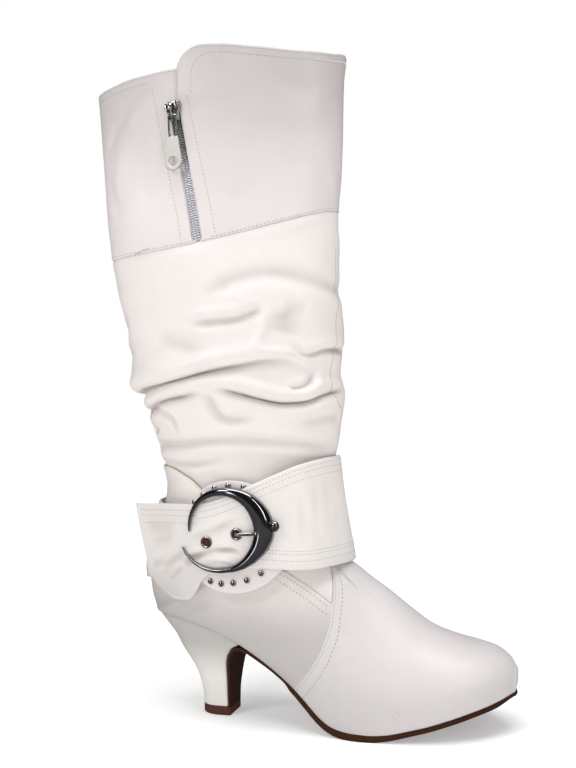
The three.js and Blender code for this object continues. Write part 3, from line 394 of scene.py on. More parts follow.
def girdle_side(x, z, lift):
    """The outer side of the strap's base at an X and a height, moved out by a lift."""
    return girdle_point(girdle_angle(x, z, lift), z, lift)


# Meshes


def grid_faces(rows, count, wrap):
    """Quads between the rows of a grid. With wrap the last column joins the first."""
    i = np.arange(rows - 1)[:, None]
    j = np.arange(count if wrap else count - 1)[None, :]
    k = (j + 1) % count
    corners = [i * count + j, i * count + k, (i + 1) * count + k, (i + 1) * count + j]
    return np.stack(np.broadcast_arrays(*corners), -1).reshape(-1, 4)


def closed_tube(rows):
    """A closed skin over a grid of rings: the ends are drawn to their middles."""
    ends = [np.repeat(rows[i].mean(0)[None], rows.shape[1], 0)[None] for i in (0, -1)]
    grid = np.concatenate([ends[0], rows, ends[1]])
    return grid.reshape(-1, 3), grid_faces(len(grid), grid.shape[1], True)


def slab(front, back, wrap=False):
    """A closed plate between two grids of equal size, with rims between their edges."""
    rows, count = front.shape[:2]
    half = rows * count
    face = grid_faces(rows, count, wrap)
    j = np.arange(count if wrap else count - 1)
    k = (j + 1) % count
    end = (rows - 1) * count
    rims = [
        np.stack([k, j, j + half, k + half], -1),
        np.stack([j + end, k + end, k + end + half, j + end + half], -1),
    ]
    if not wrap:
        i = np.arange(rows - 1) * count
        m = i + count - 1
        rims.append(np.stack([i, i + count, i + count + half, i + half], -1))
        rims.append(np.stack([m + count, m, m + half, m + count + half], -1))
    points = np.concatenate([front.reshape(-1, 3), back.reshape(-1, 3)])
    return points, np.concatenate([face, face[:, ::-1] + half, *rims])


def joined(shapes):
    """Several shapes' points and faces as one."""
    points = []
    faces = []
    count = 0
    for shape_points, shape_faces in shapes:
        points.append(shape_points)
        faces.append(shape_faces + count)
        count += len(shape_points)
    return np.concatenate(points), np.concatenate(faces)


def put(name, shape, material, nodes=(), body="boot", marks=None, crisp=None):
    """Makes a shape a piece of the boot. Points that share a place are merged, corners and faces that
    this collapses are dropped, and the whole is turned outwards by the sign of its volume."""
    points, faces = shape
    _, first, where = np.unique(np.round(points * 5000).astype(np.int64), axis=0, return_index=True, return_inverse=True)
    faces = where.ravel()[faces]
    points = points[first]
    a, b, c, d = (points[faces[:, i]] for i in range(4))
    volume = (np.cross(a, b) * c).sum() + (np.cross(a, c) * d).sum()
    if volume < 0:
        faces = faces[:, ::-1]
    keep = faces != np.roll(faces, -1, axis=1)
    corners = keep.sum(1)
    faces = faces[corners > 2]
    keep = keep[corners > 2]
    corners = corners[corners > 2]
    mesh = bpy.data.meshes.new(name)
    mesh.vertices.add(len(points))
    mesh.vertices.foreach_set("co", ((points + shift) / 1000).astype(np.float32).ravel())
    mesh.loops.add(int(corners.sum()))
    mesh.loops.foreach_set("vertex_index", faces[keep].astype(np.int32))
    mesh.polygons.add(len(corners))
    starts = np.concatenate([[0], np.cumsum(corners)[:-1]]).astype(np.int32)
    mesh.polygons.foreach_set("loop_start", starts)
    mesh.update(calc_edges=True)
    mesh.validate()
    mesh.polygons.foreach_set("use_smooth", np.ones(len(mesh.polygons), bool))
    for key, values in (marks or {}).items():
        attribute = mesh.attributes.new(key, "FLOAT", "POINT")
        attribute.data.foreach_set("value", np.asarray(values, np.float32).ravel()[first])
    if crisp:
        mesh.set_sharp_from_angle(angle=np.radians(crisp))
    piece = bpy.data.objects.new(name, mesh)
    bpy.context.scene.collection.objects.link(piece)
    mesh.materials.append(material)
    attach(piece, body)
    if nodes:
        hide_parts(*nodes)
    return piece


def carried(path, radius, outward, sides=10, depth=1.0):
    """A round bar: at each point of a path a ring across its direction, flattened by depth outwards.
    The ends are closed at the path's own ends."""
    path = np.asarray(path, float)
    radius = np.broadcast_to(np.asarray(radius, float), len(path))
    along = unit(np.gradient(path, axis=0))
    side = unit(np.cross(along, np.broadcast_to(outward, path.shape)))
    out = unit(np.cross(side, along))
    a = np.arange(sides) / sides * turn
    ring = side[:, None] * np.cos(a)[None, :, None] + depth * out[:, None] * np.sin(a)[None, :, None]
    return closed_tube(path[:, None] + ring * radius[:, None, None])


def even(path, spacing):
    """A path set out again in equal steps of about the spacing."""
    length = np.concatenate([[0], np.cumsum(np.linalg.norm(np.diff(path, axis=0), axis=1))])
    count = max(int(round(length[-1] / spacing)), 2)
    at = np.linspace(0, length[-1], count + 1)
    return np.stack([np.interp(at, length, path[:, i]) for i in range(path.shape[1])], 1)


def stitches(path, normal, pitch=2.5, share=0.62, thick=0.33, sink=0.05):
    """A row of stitches: short bars with rounded ends, one every pitch along a path on the leather, each
    laid along it and bowed out in its middle."""
    both = even(np.concatenate([path, normal], 1), pitch)
    centre = (both[1:, :3] + both[:-1, :3]) / 2
    along = unit(both[1:, :3] - both[:-1, :3])
    out = unit((both[1:, 3:] + both[:-1, 3:]) / 2)
    side = np.cross(along, out)
    at = np.linspace(-1, 1, 5)
    size = np.sqrt(np.clip(1 - at**2, 0, 1)) ** 0.5
    a = np.arange(6) / 6 * turn
    reach = at * pitch * share / 2
    bow = 0.35 * thick * (1 - at**2)
    ring_side = thick * size[:, None] * np.cos(a)
    ring_out = thick * 0.8 * size[:, None] * np.sin(a) + bow[:, None] - sink
    local = centre[:, None, None] + reach[None, :, None, None] * along[:, None, None]
    local = local + ring_side[None, ..., None] * side[:, None, None]
    local = local + ring_out[None, ..., None] * out[:, None, None]
    one = grid_faces(5, 6, True)
    faces = (np.arange(len(centre))[:, None, None] * 30 + one[None]).reshape(-1, 4)
    return local.reshape(-1, 3), faces


# Materials


def link_in(tree, socket, value):
    if isinstance(value, bpy.types.NodeSocket):
        tree.links.new(value, socket)
    else:
        socket.default_value = value


def node(tree, kind, values=None, **settings):
    """A node with its settings, and with a number or another node's output on each named socket."""
    made = tree.nodes.new(kind)
    for key, value in settings.items():
        setattr(made, key, value)
    for key, value in (values or {}).items():
        link_in(tree, made.inputs[key], value)
    return made


def math(tree, operation, a, b=0.0, c=0.0):
    made = node(tree, "ShaderNodeMath", {0: a, 1: b, 2: c}, operation=operation)
    return made.outputs[0]


def new_group(name, inputs, outputs):
    """An empty node group with the named number inputs and their values, and the named outputs."""
    tree = bpy.data.node_groups.new(name, "ShaderNodeTree")
    for key, value in inputs.items():
        socket = tree.interface.new_socket(key, in_out="INPUT", socket_type="NodeSocketFloat")
        socket.default_value = value
    for key, kind in outputs.items():
        tree.interface.new_socket(key, in_out="OUTPUT", socket_type=kind)
    return tree, tree.nodes.new("NodeGroupInput").outputs, tree.nodes.new("NodeGroupOutput").inputs


def leather_grain():
    """Fine pebbled grain, pulled wrinkles and faint clouds of tone on a coated leather."""
    tree, given, out = new_group(
        "leather_grain",
        {"Grain": 1.0, "Grain size": 1.0, "Clouds": 1.0, "Seed": 0.0},
        {"Tone": "NodeSocketFloat", "Rough": "NodeSocketFloat", "Normal": "NodeSocketVector"},
    )
    place = node(tree, "ShaderNodeTexCoord").outputs["Object"]
    shifted = node(tree, "ShaderNodeVectorMath", {0: place, 1: (0.013, 0.007, 0.003)}, operation="ADD").outputs[0]
    scale = math(tree, "MULTIPLY", given["Grain size"], 760.0)
    pebbles = node(tree, "ShaderNodeTexVoronoi", {"Vector": shifted, "Scale": scale}, feature="SMOOTH_F1")
    pores = node(tree, "ShaderNodeTexNoise", {"Vector": shifted, "Scale": 2600.0, "Detail": 3.0})
    pulls = node(tree, "ShaderNodeTexNoise", {"Vector": shifted, "Scale": 160.0, "Detail": 5.0, "Roughness": 0.62})
    seeded = node(tree, "ShaderNodeTexNoise", {"Vector": place, "W": given["Seed"], "Scale": 26.0, "Detail": 3.0}, noise_dimensions="4D")
    height = math(tree, "MULTIPLY", pebbles.outputs["Distance"], 0.55)
    height = math(tree, "MULTIPLY_ADD", pores.outputs[0], 0.35, height)
    height = math(tree, "MULTIPLY_ADD", pulls.outputs[0], 1.1, height)
    depth = math(tree, "MULTIPLY", given["Grain"], 0.22)
    bump = node(tree, "ShaderNodeBump", {"Strength": depth, "Distance": 0.0006, "Height": height})
    clouds = math(tree, "SUBTRACT", seeded.outputs[0], 0.5)
    clouds = math(tree, "MULTIPLY", clouds, given["Clouds"])
    fine = math(tree, "SUBTRACT", pulls.outputs[0], 0.5)
    tone = math(tree, "MULTIPLY_ADD", clouds, 0.12, math(tree, "MULTIPLY_ADD", fine, 0.05, 1.0))
    tree.links.new(tone, out["Tone"])
    rough = math(tree, "MULTIPLY_ADD", seeded.outputs[0], 0.16, math(tree, "MULTIPLY", pores.outputs[0], 0.08))
    tree.links.new(rough, out["Rough"])
    tree.links.new(bump.outputs[0], out["Normal"])
    return tree


def crease_painted_shade():
    """Share of painted shade in a crease, from the mesh's own crease attribute, broken up by noise."""
    tree, given, out = new_group("crease_painted_shade", {"Amount": 1.0}, {"Painted shade": "NodeSocketFloat"})
    crease = node(tree, "ShaderNodeAttribute", attribute_name="crease").outputs["Fac"]
    place = node(tree, "ShaderNodeTexCoord").outputs["Object"]
    uneven = node(tree, "ShaderNodeTexNoise", {"Vector": place, "Scale": 90.0, "Detail": 4.0}).outputs[0]
    uneven = math(tree, "MULTIPLY_ADD", uneven, 0.8, 0.6)
    tree.links.new(math(tree, "MULTIPLY", math(tree, "MULTIPLY", crease, uneven), given["Amount"]), out["Painted shade"])
    return tree


def span_tone():
    """Tone that runs from one value to another between two places in metres, counted up the boot, along
    it, or both: the place is X times its share plus Z times its share."""
    values = {"X share": 0.0, "Z share": 1.0, "Start": 0.0, "End": 1.0, "Start tone": 1.0, "End tone": 1.0}
    tree, given, out = new_group("span_tone", values, {"Tone": "NodeSocketFloat"})
    spot = node(tree, "ShaderNodeTexCoord").outputs["Object"]
    spot = node(tree, "ShaderNodeSeparateXYZ", {0: spot}).outputs
    up = math(tree, "MULTIPLY", spot["Z"], given["Z share"])
    at = math(tree, "MULTIPLY_ADD", spot["X"], given["X share"], up)
    ends = {0: at, 1: given["Start"], 2: given["End"], 3: given["Start tone"], 4: given["End tone"]}
    ramp = node(tree, "ShaderNodeMapRange", ends, interpolation_type="SMOOTHSTEP").outputs[0]
    tree.links.new(ramp, out["Tone"])
    return tree


finish_outputs = {"Tone": "NodeSocketFloat", "Rough": "NodeSocketFloat", "Normal": "NodeSocketVector"}


def metal_marks():
    """Handling marks in the tone and gloss of plated metal, and a slight unevenness of its skin."""
    tree, given, out = new_group("metal_marks", {"Gloss": 0.1, "Wear": 0.05, "Brushed": 0.0}, finish_outputs)
    place = node(tree, "ShaderNodeTexCoord").outputs["Object"]
    marks = node(tree, "ShaderNodeTexNoise", {"Vector": place, "Scale": 240.0, "Detail": 5.0, "Roughness": 0.65})
    fine = node(tree, "ShaderNodeTexNoise", {"Vector": place, "Scale": 1900.0, "Detail": 2.0})
    tree.links.new(math(tree, "MULTIPLY_ADD", marks.outputs[0], 0.16, 0.92), out["Tone"])
    tree.links.new(math(tree, "MULTIPLY_ADD", marks.outputs[0], given["Wear"], given["Gloss"]), out["Rough"])
    strength = math(tree, "ADD", given["Brushed"], 0.04)
    bump = node(tree, "ShaderNodeBump", {"Strength": strength, "Distance": 0.0002, "Height": fine.outputs[0]})
    tree.links.new(bump.outputs[0], out["Normal"])
    return tree


def stained_streaks():
    """Streaks of tone along the boot and a fine rubbed grain on stained sole leather or rubber."""
    tree, given, out = new_group("stained_streaks", {"Gloss": 0.5, "Streak": 0.5}, finish_outputs)
    place = node(tree, "ShaderNodeTexCoord").outputs["Object"]
    stretched = node(tree, "ShaderNodeMapping", {"Vector": place, "Scale": (60.0, 260.0, 260.0)}).outputs[0]
    streaks = node(tree, "ShaderNodeTexNoise", {"Vector": stretched, "Scale": 1.0, "Detail": 4.0})
    fine = node(tree, "ShaderNodeTexNoise", {"Vector": place, "Scale": 1500.0, "Detail": 3.0})
    off_middle = math(tree, "SUBTRACT", streaks.outputs[0], 0.5)
    tree.links.new(math(tree, "MULTIPLY_ADD", off_middle, given["Streak"], 1.0), out["Tone"])
    tree.links.new(math(tree, "MULTIPLY_ADD", fine.outputs[0], 0.15, given["Gloss"]), out["Rough"])
    bump = node(tree, "ShaderNodeBump", {"Strength": 0.25, "Distance": 0.0003, "Height": fine.outputs[0]})
    tree.links.new(bump.outputs[0], out["Normal"])
    return tree


def weave_waves():
    """Two crossing waves, so many to the metre, that make a weave's tone, gloss and relief."""
    tree, given, out = new_group("weave_waves", {"Gloss": 0.7, "Count": 2000.0}, finish_outputs)
    place = node(tree, "ShaderNodeTexCoord").outputs["Object"]
    scale = math(tree, "DIVIDE", given["Count"], turn)
    ways = [
        node(tree, "ShaderNodeTexWave", {"Vector": place, "Scale": scale, "Distortion": 0.6}, bands_direction=way)
        for way in ("Z", "X")
    ]
    weave = math(tree, "MULTIPLY", ways[0].outputs["Fac"], ways[1].outputs["Fac"])
    tree.links.new(math(tree, "MULTIPLY_ADD", weave, 0.3, 0.8), out["Tone"])
    tree.links.new(math(tree, "MULTIPLY_ADD", weave, 0.1, given["Gloss"]), out["Rough"])
    bump = node(tree, "ShaderNodeBump", {"Strength": 0.5, "Distance": 0.0002, "Height": weave})
    tree.links.new(bump.outputs[0], out["Normal"])
    return tree


grain_group = leather_grain()
crease_shade_group = crease_painted_shade()
span_group = span_tone()
metal_group = metal_marks()
streak_group = stained_streaks()
weave_group = weave_waves()


def new_material(name):
    material = bpy.data.materials.new(name)
    material.use_nodes = True
    tree = material.node_tree
    tree.nodes.clear()
    shader = tree.nodes.new("ShaderNodeBsdfPrincipled")
    output = tree.nodes.new("ShaderNodeOutputMaterial")
    tree.links.new(shader.outputs[0], output.inputs[0])
    return material, tree, shader


def placed(tree, group, values):
    """A node group put into a material with its own values."""
    return node(tree, "ShaderNodeGroup", values, node_tree=group).outputs


def tinted(tree, tone, colour):
    """A colour brightened or darkened by a tone around 1."""
    return node(tree, "ShaderNodeVectorMath", {0: colour[:3], 1: tone}, operation="MULTIPLY").outputs[0]


def blended(tree, share, colour, other):
    return node(tree, "ShaderNodeMix", {0: share, 6: colour, 7: other}, data_type="RGBA").outputs[2]


def with_spans(tree, tone, rise, run):
    """A tone times the tone that rise gives over the height and the one that run gives along the boot:
    each is two places in millimetres and their tones."""
    for span, along in ((rise, 0.0), (run, 1.0)):
        if span:
            start, end, start_tone, end_tone = span
            start, end = (np.array([start, end]) + shift[0] * along) / 1000
            values = {"X share": along, "Z share": 1.0 - along, "Start": float(start), "End": float(end)}
            values.update({"Start tone": start_tone, "End tone": end_tone})
            tone = math(tree, "MULTIPLY", tone, placed(tree, span_group, values)["Tone"])
    return tone


def leather(
    name, colour, rough=0.42, grain=1.0, clouds=1.0, seed=0.0, crease_shading=0.0, scuff=None, rise=None, run=None
):
    """Coated leather: the grain's tone on its colour, greyed in the creases by painted shade, with an optional scuff
    and optional painted light and shade that change its tone with height and along the boot."""
    material, tree, shader = new_material(name)
    skin_of = placed(tree, grain_group, {"Grain": grain, "Clouds": clouds, "Seed": seed})
    tone = with_spans(tree, skin_of["Tone"], rise, run)
    shade = tinted(tree, tone, colour)
    # Painted shade: the deeper a point lies in a fold, the more its colour goes to a grey.
    if crease_shading:
        crease_shade = placed(tree, crease_shade_group, {"Amount": crease_shading})["Painted shade"]
        shade = blended(tree, crease_shade, shade, (0.47, 0.40, 0.365, 1))
    if scuff:
        place = node(tree, "ShaderNodeTexCoord").outputs["Object"]
        centre = tuple((np.array(scuff[0]) + shift) / 1000)
        away = node(tree, "ShaderNodeVectorMath", {0: place, 1: centre}, operation="DISTANCE").outputs["Value"]
        near = node(tree, "ShaderNodeMapRange", {0: away, 1: 0.0, 2: scuff[1] / 1000, 3: 1.0, 4: 0.0}).outputs[0]
        spots = node(tree, "ShaderNodeTexNoise", {"Vector": place, "Scale": 420.0, "Detail": 4.0}).outputs[0]
        spots = node(tree, "ShaderNodeMapRange", {0: spots, 1: 0.4, 2: 0.65, 3: 0.0, 4: 0.36}).outputs[0]
        shade = blended(tree, math(tree, "MULTIPLY", near, spots), shade, (0.62, 0.36, 0.32, 1))
    tree.links.new(shade, shader.inputs["Base Color"])
    tree.links.new(math(tree, "ADD", skin_of["Rough"], rough - 0.12), shader.inputs["Roughness"])
    tree.links.new(skin_of["Normal"], shader.inputs["Normal"])
    shader.inputs["IOR"].default_value = 1.46
    shader.inputs["Coat Weight"].default_value = 0.12
    shader.inputs["Coat Roughness"].default_value = 0.28
    return material


def finish(name, group, values, colour, rise=None):
    """A material whose tone, roughness and normal come from one group."""
    material, tree, shader = new_material(name)
    given = placed(tree, group, values)
    tone = with_spans(tree, given["Tone"], rise, None)
    tree.links.new(tinted(tree, tone, colour), shader.inputs["Base Color"])
    tree.links.new(given["Rough"], shader.inputs["Roughness"])
    tree.links.new(given["Normal"], shader.inputs["Normal"])
    return material, shader


def metal(name, colour, rough, wear=0.05, brushed=0.0, rise=None):
    """Plated metal."""
    values = {"Gloss": rough, "Wear": wear, "Brushed": brushed}
    material, shader = finish(name, metal_group, values, colour, rise)
    shader.inputs["Metallic"].default_value = 1.0
    return material


def sole_finish(name, colour, rough, streak):
    """Dark stained sole leather or rubber."""
    material, shader = finish(name, streak_group, {"Gloss": rough, "Streak": streak}, colour)
    shader.inputs["Specular IOR Level"].default_value = 0.06
    return material


def woven_finish(name, colour, rough, pitch, rise=None):
    """Woven tape or thread, with a weave of the named pitch in millimetres."""
    material, shader = finish(name, weave_group, {"Gloss": rough, "Count": 1000 / pitch}, colour, rise)
    shader.inputs["Sheen Weight"].default_value = 0.15
    return material


# Painted light and shade: the rise and run ramps of these leathers stand in for how the light falls. The foot leather
# is darker low down and towards the heel and lighter up under the strap's shadow, the vamp darker near the sole and the
# seam, the cuff darker towards its top edge and slightly towards the front, the strap darker along its lower part and
# towards the back, and the heel darker towards the seat.
foot_leather = leather(
    "foot_leather", (0.65, 0.612, 0.59), seed=1.0, grain=1.6, rise=(55, 118, 0.72, 1.42), run=(-5, 75, 0.78, 1.1)
)
vamp_leather = leather(
    "vamp_leather", (0.735, 0.692, 0.69), seed=2.0, grain=1.2, scuff=((168, -42, 19), 6.5),
    rise=(8, 60, 0.86, 1.0), run=(125, 190, 0.91, 1.0)
)
shaft_leather = leather("shaft_leather", (0.805, 0.752, 0.728), seed=3.0, crease_shading=0.95)
cuff_leather = leather(
    "cuff_leather", (0.745, 0.69, 0.682), seed=4.0, clouds=1.4, rise=(320, 428, 1.0, 0.7), run=(15, 60, 1.02, 0.97)
)
strap_leather = leather(
    "strap_leather", (0.83, 0.785, 0.755), seed=5.0, rough=0.46, grain=1.7, crease_shading=1.3,
    rise=(86, 114, 0.86, 1.0), run=(15, 75, 0.85, 0.97)
)
disc_leather = leather("disc_leather", (0.75, 0.702, 0.69), seed=6.0, rough=0.5, grain=1.6)
heel_leather = leather(
    "heel_leather", (0.79, 0.755, 0.72), seed=7.0, rough=0.4, clouds=0.6, rise=(22, 54, 1.05, 0.62)
)
binding_leather = leather("binding_leather", (0.79, 0.725, 0.62), seed=8.0, rough=0.5)
lining = leather("lining", (0.62, 0.54, 0.45), seed=9.0, rough=0.6)
seam_shade = leather("seam_shade", (0.5, 0.46, 0.43), seed=10.0, rough=0.6)
sole_brown = sole_finish("sole_brown", (0.05, 0.02, 0.01), 0.6, 0.5)
tip_brown = sole_finish("tip_brown", (0.105, 0.04, 0.03), 0.55, 0.35)
# The eyelets' holes are a dark disc of painted shade, made with the sole's finish.
hole_painted_shade = sole_finish("hole_painted_shade", (0.085, 0.035, 0.03), 0.55, 0.4)
black_nickel = metal("black_nickel", (0.25, 0.245, 0.262), 0.07)
bright_nickel = metal("bright_nickel", (0.52, 0.48, 0.465), 0.1, wear=0.1)
zip_nickel = metal("zip_nickel", (0.42, 0.42, 0.41), 0.12, wear=0.12)
# Painted shade: the teeth and the tape grow darker up the zip, towards the slider.
teeth_silver = metal("teeth_silver", (0.98, 0.97, 0.99), 0.62, wear=0.1, rise=(345, 372, 1.0, 0.5))
pull_silver = metal("pull_silver", (0.98, 0.965, 0.91), 0.66, wear=0.08, brushed=0.05)
tape_cloth = woven_finish("tape_cloth", (0.72, 0.705, 0.76), 0.75, 0.5, rise=(345, 372, 1.0, 0.4))
thread = woven_finish("thread", (0.47, 0.435, 0.42), 0.7, 0.4)
pale_thread = woven_finish("pale_thread", (0.95, 0.95, 0.94), 0.7, 0.4)

# Folds


def fold_line(points, count=48):
    """A line of listed (angle, height) points made smooth, in millimetres on the unrolled leg."""
    given = np.array(points, float)
    at = np.concatenate([[0], np.cumsum(np.hypot(*np.diff(given * (0.92, 1), axis=0).T))])
    share = np.linspace(0, at[-1], count)
    line = np.stack([smooth_curve(np.stack([at, given[:, i]], 1))(share) for i in (0, 1)], 1)
    return line * (-0.92, 1), given[:, 0].mean(), at[-1]


def fold_field(folds, angle, z):
    """Depth of the folds over the unrolled leg. Across its line each fold is a bell-shaped trough, steeper
    above than below, with a lip over it and a roll under it, and the lip hangs down by its drop.
    Returns the way out and the shift in height."""
    out = np.zeros(np.broadcast(angle, z).shape)
    down = np.zeros_like(out)
    for fold in folds:
        line, middle, length = fold_line(fold["line"])
        turned = middle + np.mod(np.degrees(angle) - middle + 180, 360) - 180
        place = np.stack(np.broadcast_arrays(-0.92 * turned, z), -1)
        reach = 3 * max(fold["wide"], fold.get("soft", 0)) + 2.5 * fold.get("lip_wide", 1.5 * fold["wide"])
        near = (np.abs(place[..., 0] - line[:, 0].mean()) < np.ptp(line[:, 0]) / 2 + reach) & (
            np.abs(place[..., 1] - line[:, 1].mean()) < np.ptp(line[:, 1]) / 2 + reach
        )
        spot = place[near]
        start = line[:-1]
        step = np.diff(line, axis=0)
        from_start = spot[:, None] - start[None]
        t = np.clip((from_start * step).sum(-1) / (step * step).sum(-1), 0, 1)
        away = from_start - t[..., None] * step
        distance = np.hypot(away[..., 0], away[..., 1])
        nearest = distance.argmin(1)
        rows = np.arange(len(spot))
        side = np.sign(step[nearest, 0] * away[rows, nearest, 1] - step[nearest, 1] * away[rows, nearest, 0])
        signed = distance[rows, nearest] * np.where(side == 0, 1, side)
        share = (nearest + t[rows, nearest]) / len(step)
        head, foot = fold.get("fade", (0.15, 0.15))
        strength = ease(share, 0, head) * (1 - ease(share, 1 - foot, 1))
        if "swell" in fold:
            strength = strength * np.interp(share, np.linspace(0, 1, len(fold["swell"])), fold["swell"])
        wide = fold["wide"]
        lip_wide = fold.get("lip_wide", 1.5 * wide)
        trough = np.exp(-((signed / np.where(signed > 0, wide, fold.get("soft", wide))) ** 2))
        lip = np.exp(-(((signed - 0.9 * wide - 0.6 * lip_wide) / lip_wide) ** 2))
        roll = np.exp(-(((signed + 0.9 * wide + 0.6 * lip_wide) / lip_wide) ** 2))
        out[near] += strength * (fold.get("lip", 0) * lip + fold.get("roll", 0) * roll - fold["deep"] * trough)
        hang = np.exp(-(((signed - 0.7 * wide) / (0.9 * wide)) ** 2))
        down[near] += strength * fold.get("drop", 0) * hang
    return out, down


shaft_folds = [
    dict(
        line=[(214, 212), (190, 210), (165, 212), (143, 216), (123, 219), (108, 222), (96, 225), (85, 227.5), (75, 229), (64, 230.5), (55, 231), (47, 229.5), (40, 226.5), (34, 222), (32, 217)],
        deep=6.4, wide=2.3, soft=5.2, lip=3.0, roll=0.5, lip_wide=5.0, drop=3.0, fade=(0.12, 0.3),
        swell=[0.6, 0.8, 1, 1.1, 1.1, 1, 0.85, 0.55, 0.25],
    ),
    dict(line=[(52, 212), (47, 212.5), (41, 213.5), (36, 216), (33, 220), (34, 224)], deep=2.6, wide=1.8, soft=2.6, lip=0.9, roll=0.4, drop=0.8, fade=(0.2, 0.3)),
    dict(line=[(180, 200), (160, 200), (150, 202), (133, 206), (121, 208.5), (110, 210), (103, 211), (93, 211)], deep=5.4, wide=2.3, soft=3.4, lip=1.0, roll=0.8, lip_wide=3.4, drop=2.2, fade=(0.2, 0.3)),
    dict(
        line=[(93, 213.5), (86, 213), (78, 211), (71, 208.5), (63, 206), (55, 204.6), (46, 204.8), (38, 206), (27, 209), (11, 211), (-12, 211)],
        deep=5.8, wide=2.3, soft=4.0, lip=1.6, roll=0.6, lip_wide=3.8, drop=2.4, fade=(0.12, 0.25),
        swell=[0.7, 1, 1.1, 1.1, 1, 0.7, 0.5],
    ),
    dict(line=[(97, 211), (96, 206), (95, 201), (93, 197), (88, 194), (80, 193.5), (70, 194.5)], deep=2.6, wide=2.6, soft=4.2, lip=0.9, roll=0.5, fade=(0.12, 0.35)),
    dict(
        line=[(87, 266), (86, 272), (81, 277), (74, 280.5), (66, 283), (58, 284), (46, 282.5), (33, 279.5), (21, 276.5), (2, 274), (-25, 274)],
        deep=2.3, wide=4.4, soft=7.0, lip=0.2, roll=1.1, lip_wide=7.0, fade=(0.12, 0.25),
    ),
    dict(line=[(103, 252), (94, 255), (87, 255.7), (80, 256), (73, 258), (67, 260.5), (61, 263)], deep=3.2, wide=2.6, soft=4.6, lip=1.2, roll=0.5, drop=1.0, fade=(0.3, 0.2)),
    dict(line=[(66, 265), (61.5, 262), (60.5, 257), (62, 252), (64.5, 246), (66, 240), (63, 235.5), (57, 234.5), (50, 234), (43, 231.5), (37, 228), (33.5, 223.5)], deep=-1.9, wide=2.9, fade=(0.2, 0.15)),
    dict(line=[(53, 262), (51, 256), (51, 250), (53, 243)], deep=2.6, wide=7.0, fade=(0.3, 0.3)),
    dict(line=[(52, 264), (44, 262), (38, 257)], deep=1.1, wide=5.5, fade=(0.3, 0.3)),
    dict(line=[(222, 238), (195, 236), (168, 235), (140, 238)], deep=2.6, wide=6.5, fade=(0.2, 0.45)),
    dict(
        line=[(52, 244), (47, 239), (43, 234.5), (38, 233), (32, 234), (24, 236), (13, 236.5), (0, 236.5), (-16, 236)],
        deep=4.4, wide=1.9, soft=3.2, lip=1.3, roll=0.7, lip_wide=3.2, drop=1.4, fade=(0.25, 0.3), swell=[0.4, 0.5, 0.7, 1, 1.3, 1.2],
    ),
    dict(line=[(50, 208), (42, 206), (34, 209), (29, 214), (25, 221), (24, 229)], deep=-0.8, wide=2.8, fade=(0.3, 0.3)),
    dict(line=[(48, 190), (34, 192), (20, 194), (2, 194)], deep=1.6, wide=2.6, soft=4.0, lip=0.5, fade=(0.3, 0.25)),
    dict(line=[(152, 200), (139, 200), (131, 198), (126, 194), (125, 189), (127, 183)], deep=2.2, wide=2.2, soft=3.0, lip=0.5, roll=0.7, fade=(0.2, 0.3)),
    dict(line=[(165, 186), (154, 187), (146, 189)], deep=1.8, wide=1.6, fade=(0.3, 0.4)),
    dict(line=[(215, 205), (190, 206), (165, 208), (145, 210.5)], deep=2.2, wide=4.6, fade=(0.3, 0.4)),
    dict(
        line=[(168, 177), (148, 178), (124, 178.5), (108, 180), (88, 180.5), (70, 180), (51, 178), (27, 175.5), (-10, 173)],
        deep=2.7, wide=2.6, soft=4.0, lip=0.6, roll=0.7, fade=(0.1, 0.3), swell=[1, 1, 1, 0.8, 0.7, 0.6, 0.4],
    ),
    dict(line=[(160, 166), (140, 165.5), (120, 165.5), (100, 167), (85, 169)], deep=2.3, wide=1.9, soft=2.8, roll=0.5, fade=(0.15, 0.4)),
    dict(line=[(124, 246), (112, 243), (101, 239), (92, 238)], deep=1.5, wide=5.0, fade=(0.3, 0.4)),
    dict(line=[(134, 212), (117, 215.5), (98, 218.5), (82, 218), (67, 214), (54, 210.5)], deep=-1.9, wide=4.2, fade=(0.15, 0.2)),
    dict(line=[(150, 262), (166, 252), (184, 246), (200, 246)], deep=1.4, wide=5.0, roll=0.6, fade=(0.3, 0.3)),
    dict(line=[(-32, 219), (-52, 224), (-75, 229), (-100, 226), (-125, 220), (-152, 213)], deep=5.8, wide=2.3, soft=5.0, lip=2.4, roll=0.8, lip_wide=5.0, drop=2.6, fade=(0.2, 0.2)),
    dict(line=[(-90, 211), (-115, 208), (-140, 203), (-172, 199)], deep=4.6, wide=2.3, soft=3.6, lip=1.0, roll=0.9, drop=2.0, fade=(0.2, 0.3)),
    dict(line=[(-12, 210), (-45, 204), (-70, 206), (-96, 212)], deep=4.8, wide=2.3, soft=3.8, lip=1.2, roll=0.8, drop=2.2, fade=(0.2, 0.25)),
    dict(line=[(-35, 249), (-60, 256), (-88, 257), (-115, 250)], deep=2.6, wide=3.2, soft=5.0, lip=0.9, roll=0.6, drop=0.8, fade=(0.25, 0.25)),
    dict(line=[(-6, 274), (-34, 279), (-66, 283), (-98, 274)], deep=2.2, wide=4.4, soft=6.0, roll=0.8, fade=(0.25, 0.25)),
    dict(line=[(-10, 175), (-60, 179), (-110, 181), (-165, 178)], deep=2.1, wide=2.8, soft=4.0, lip=0.4, roll=0.6, fade=(0.2, 0.25)),
    dict(line=[(-50, 191), (-80, 190), (-110, 194)], deep=1.6, wide=3.2, fade=(0.3, 0.3)),
    dict(line=[(-60, 238), (-84, 243), (-112, 238)], deep=1.3, wide=4.0, fade=(0.3, 0.3)),
]


def seam_at(angle):
    return seam_height + seam_rise * ((1 + np.cos(angle)) / 2) ** 2.4


def topline_height(angle):
    turned = np.degrees(np.mod(angle, turn))
    return mix(ankle_height, tab_height, topline_share(np.minimum(turned, 360 - turned)))


def spaced(start, end, count, dense, amount):
    """Places from start to end, closer together where the dense function is high."""
    fine = np.linspace(start, end, 2000)
    weight = np.cumsum(1 + amount * dense(fine))
    return np.interp(np.linspace(weight[0], weight[-1], count), weight, fine)


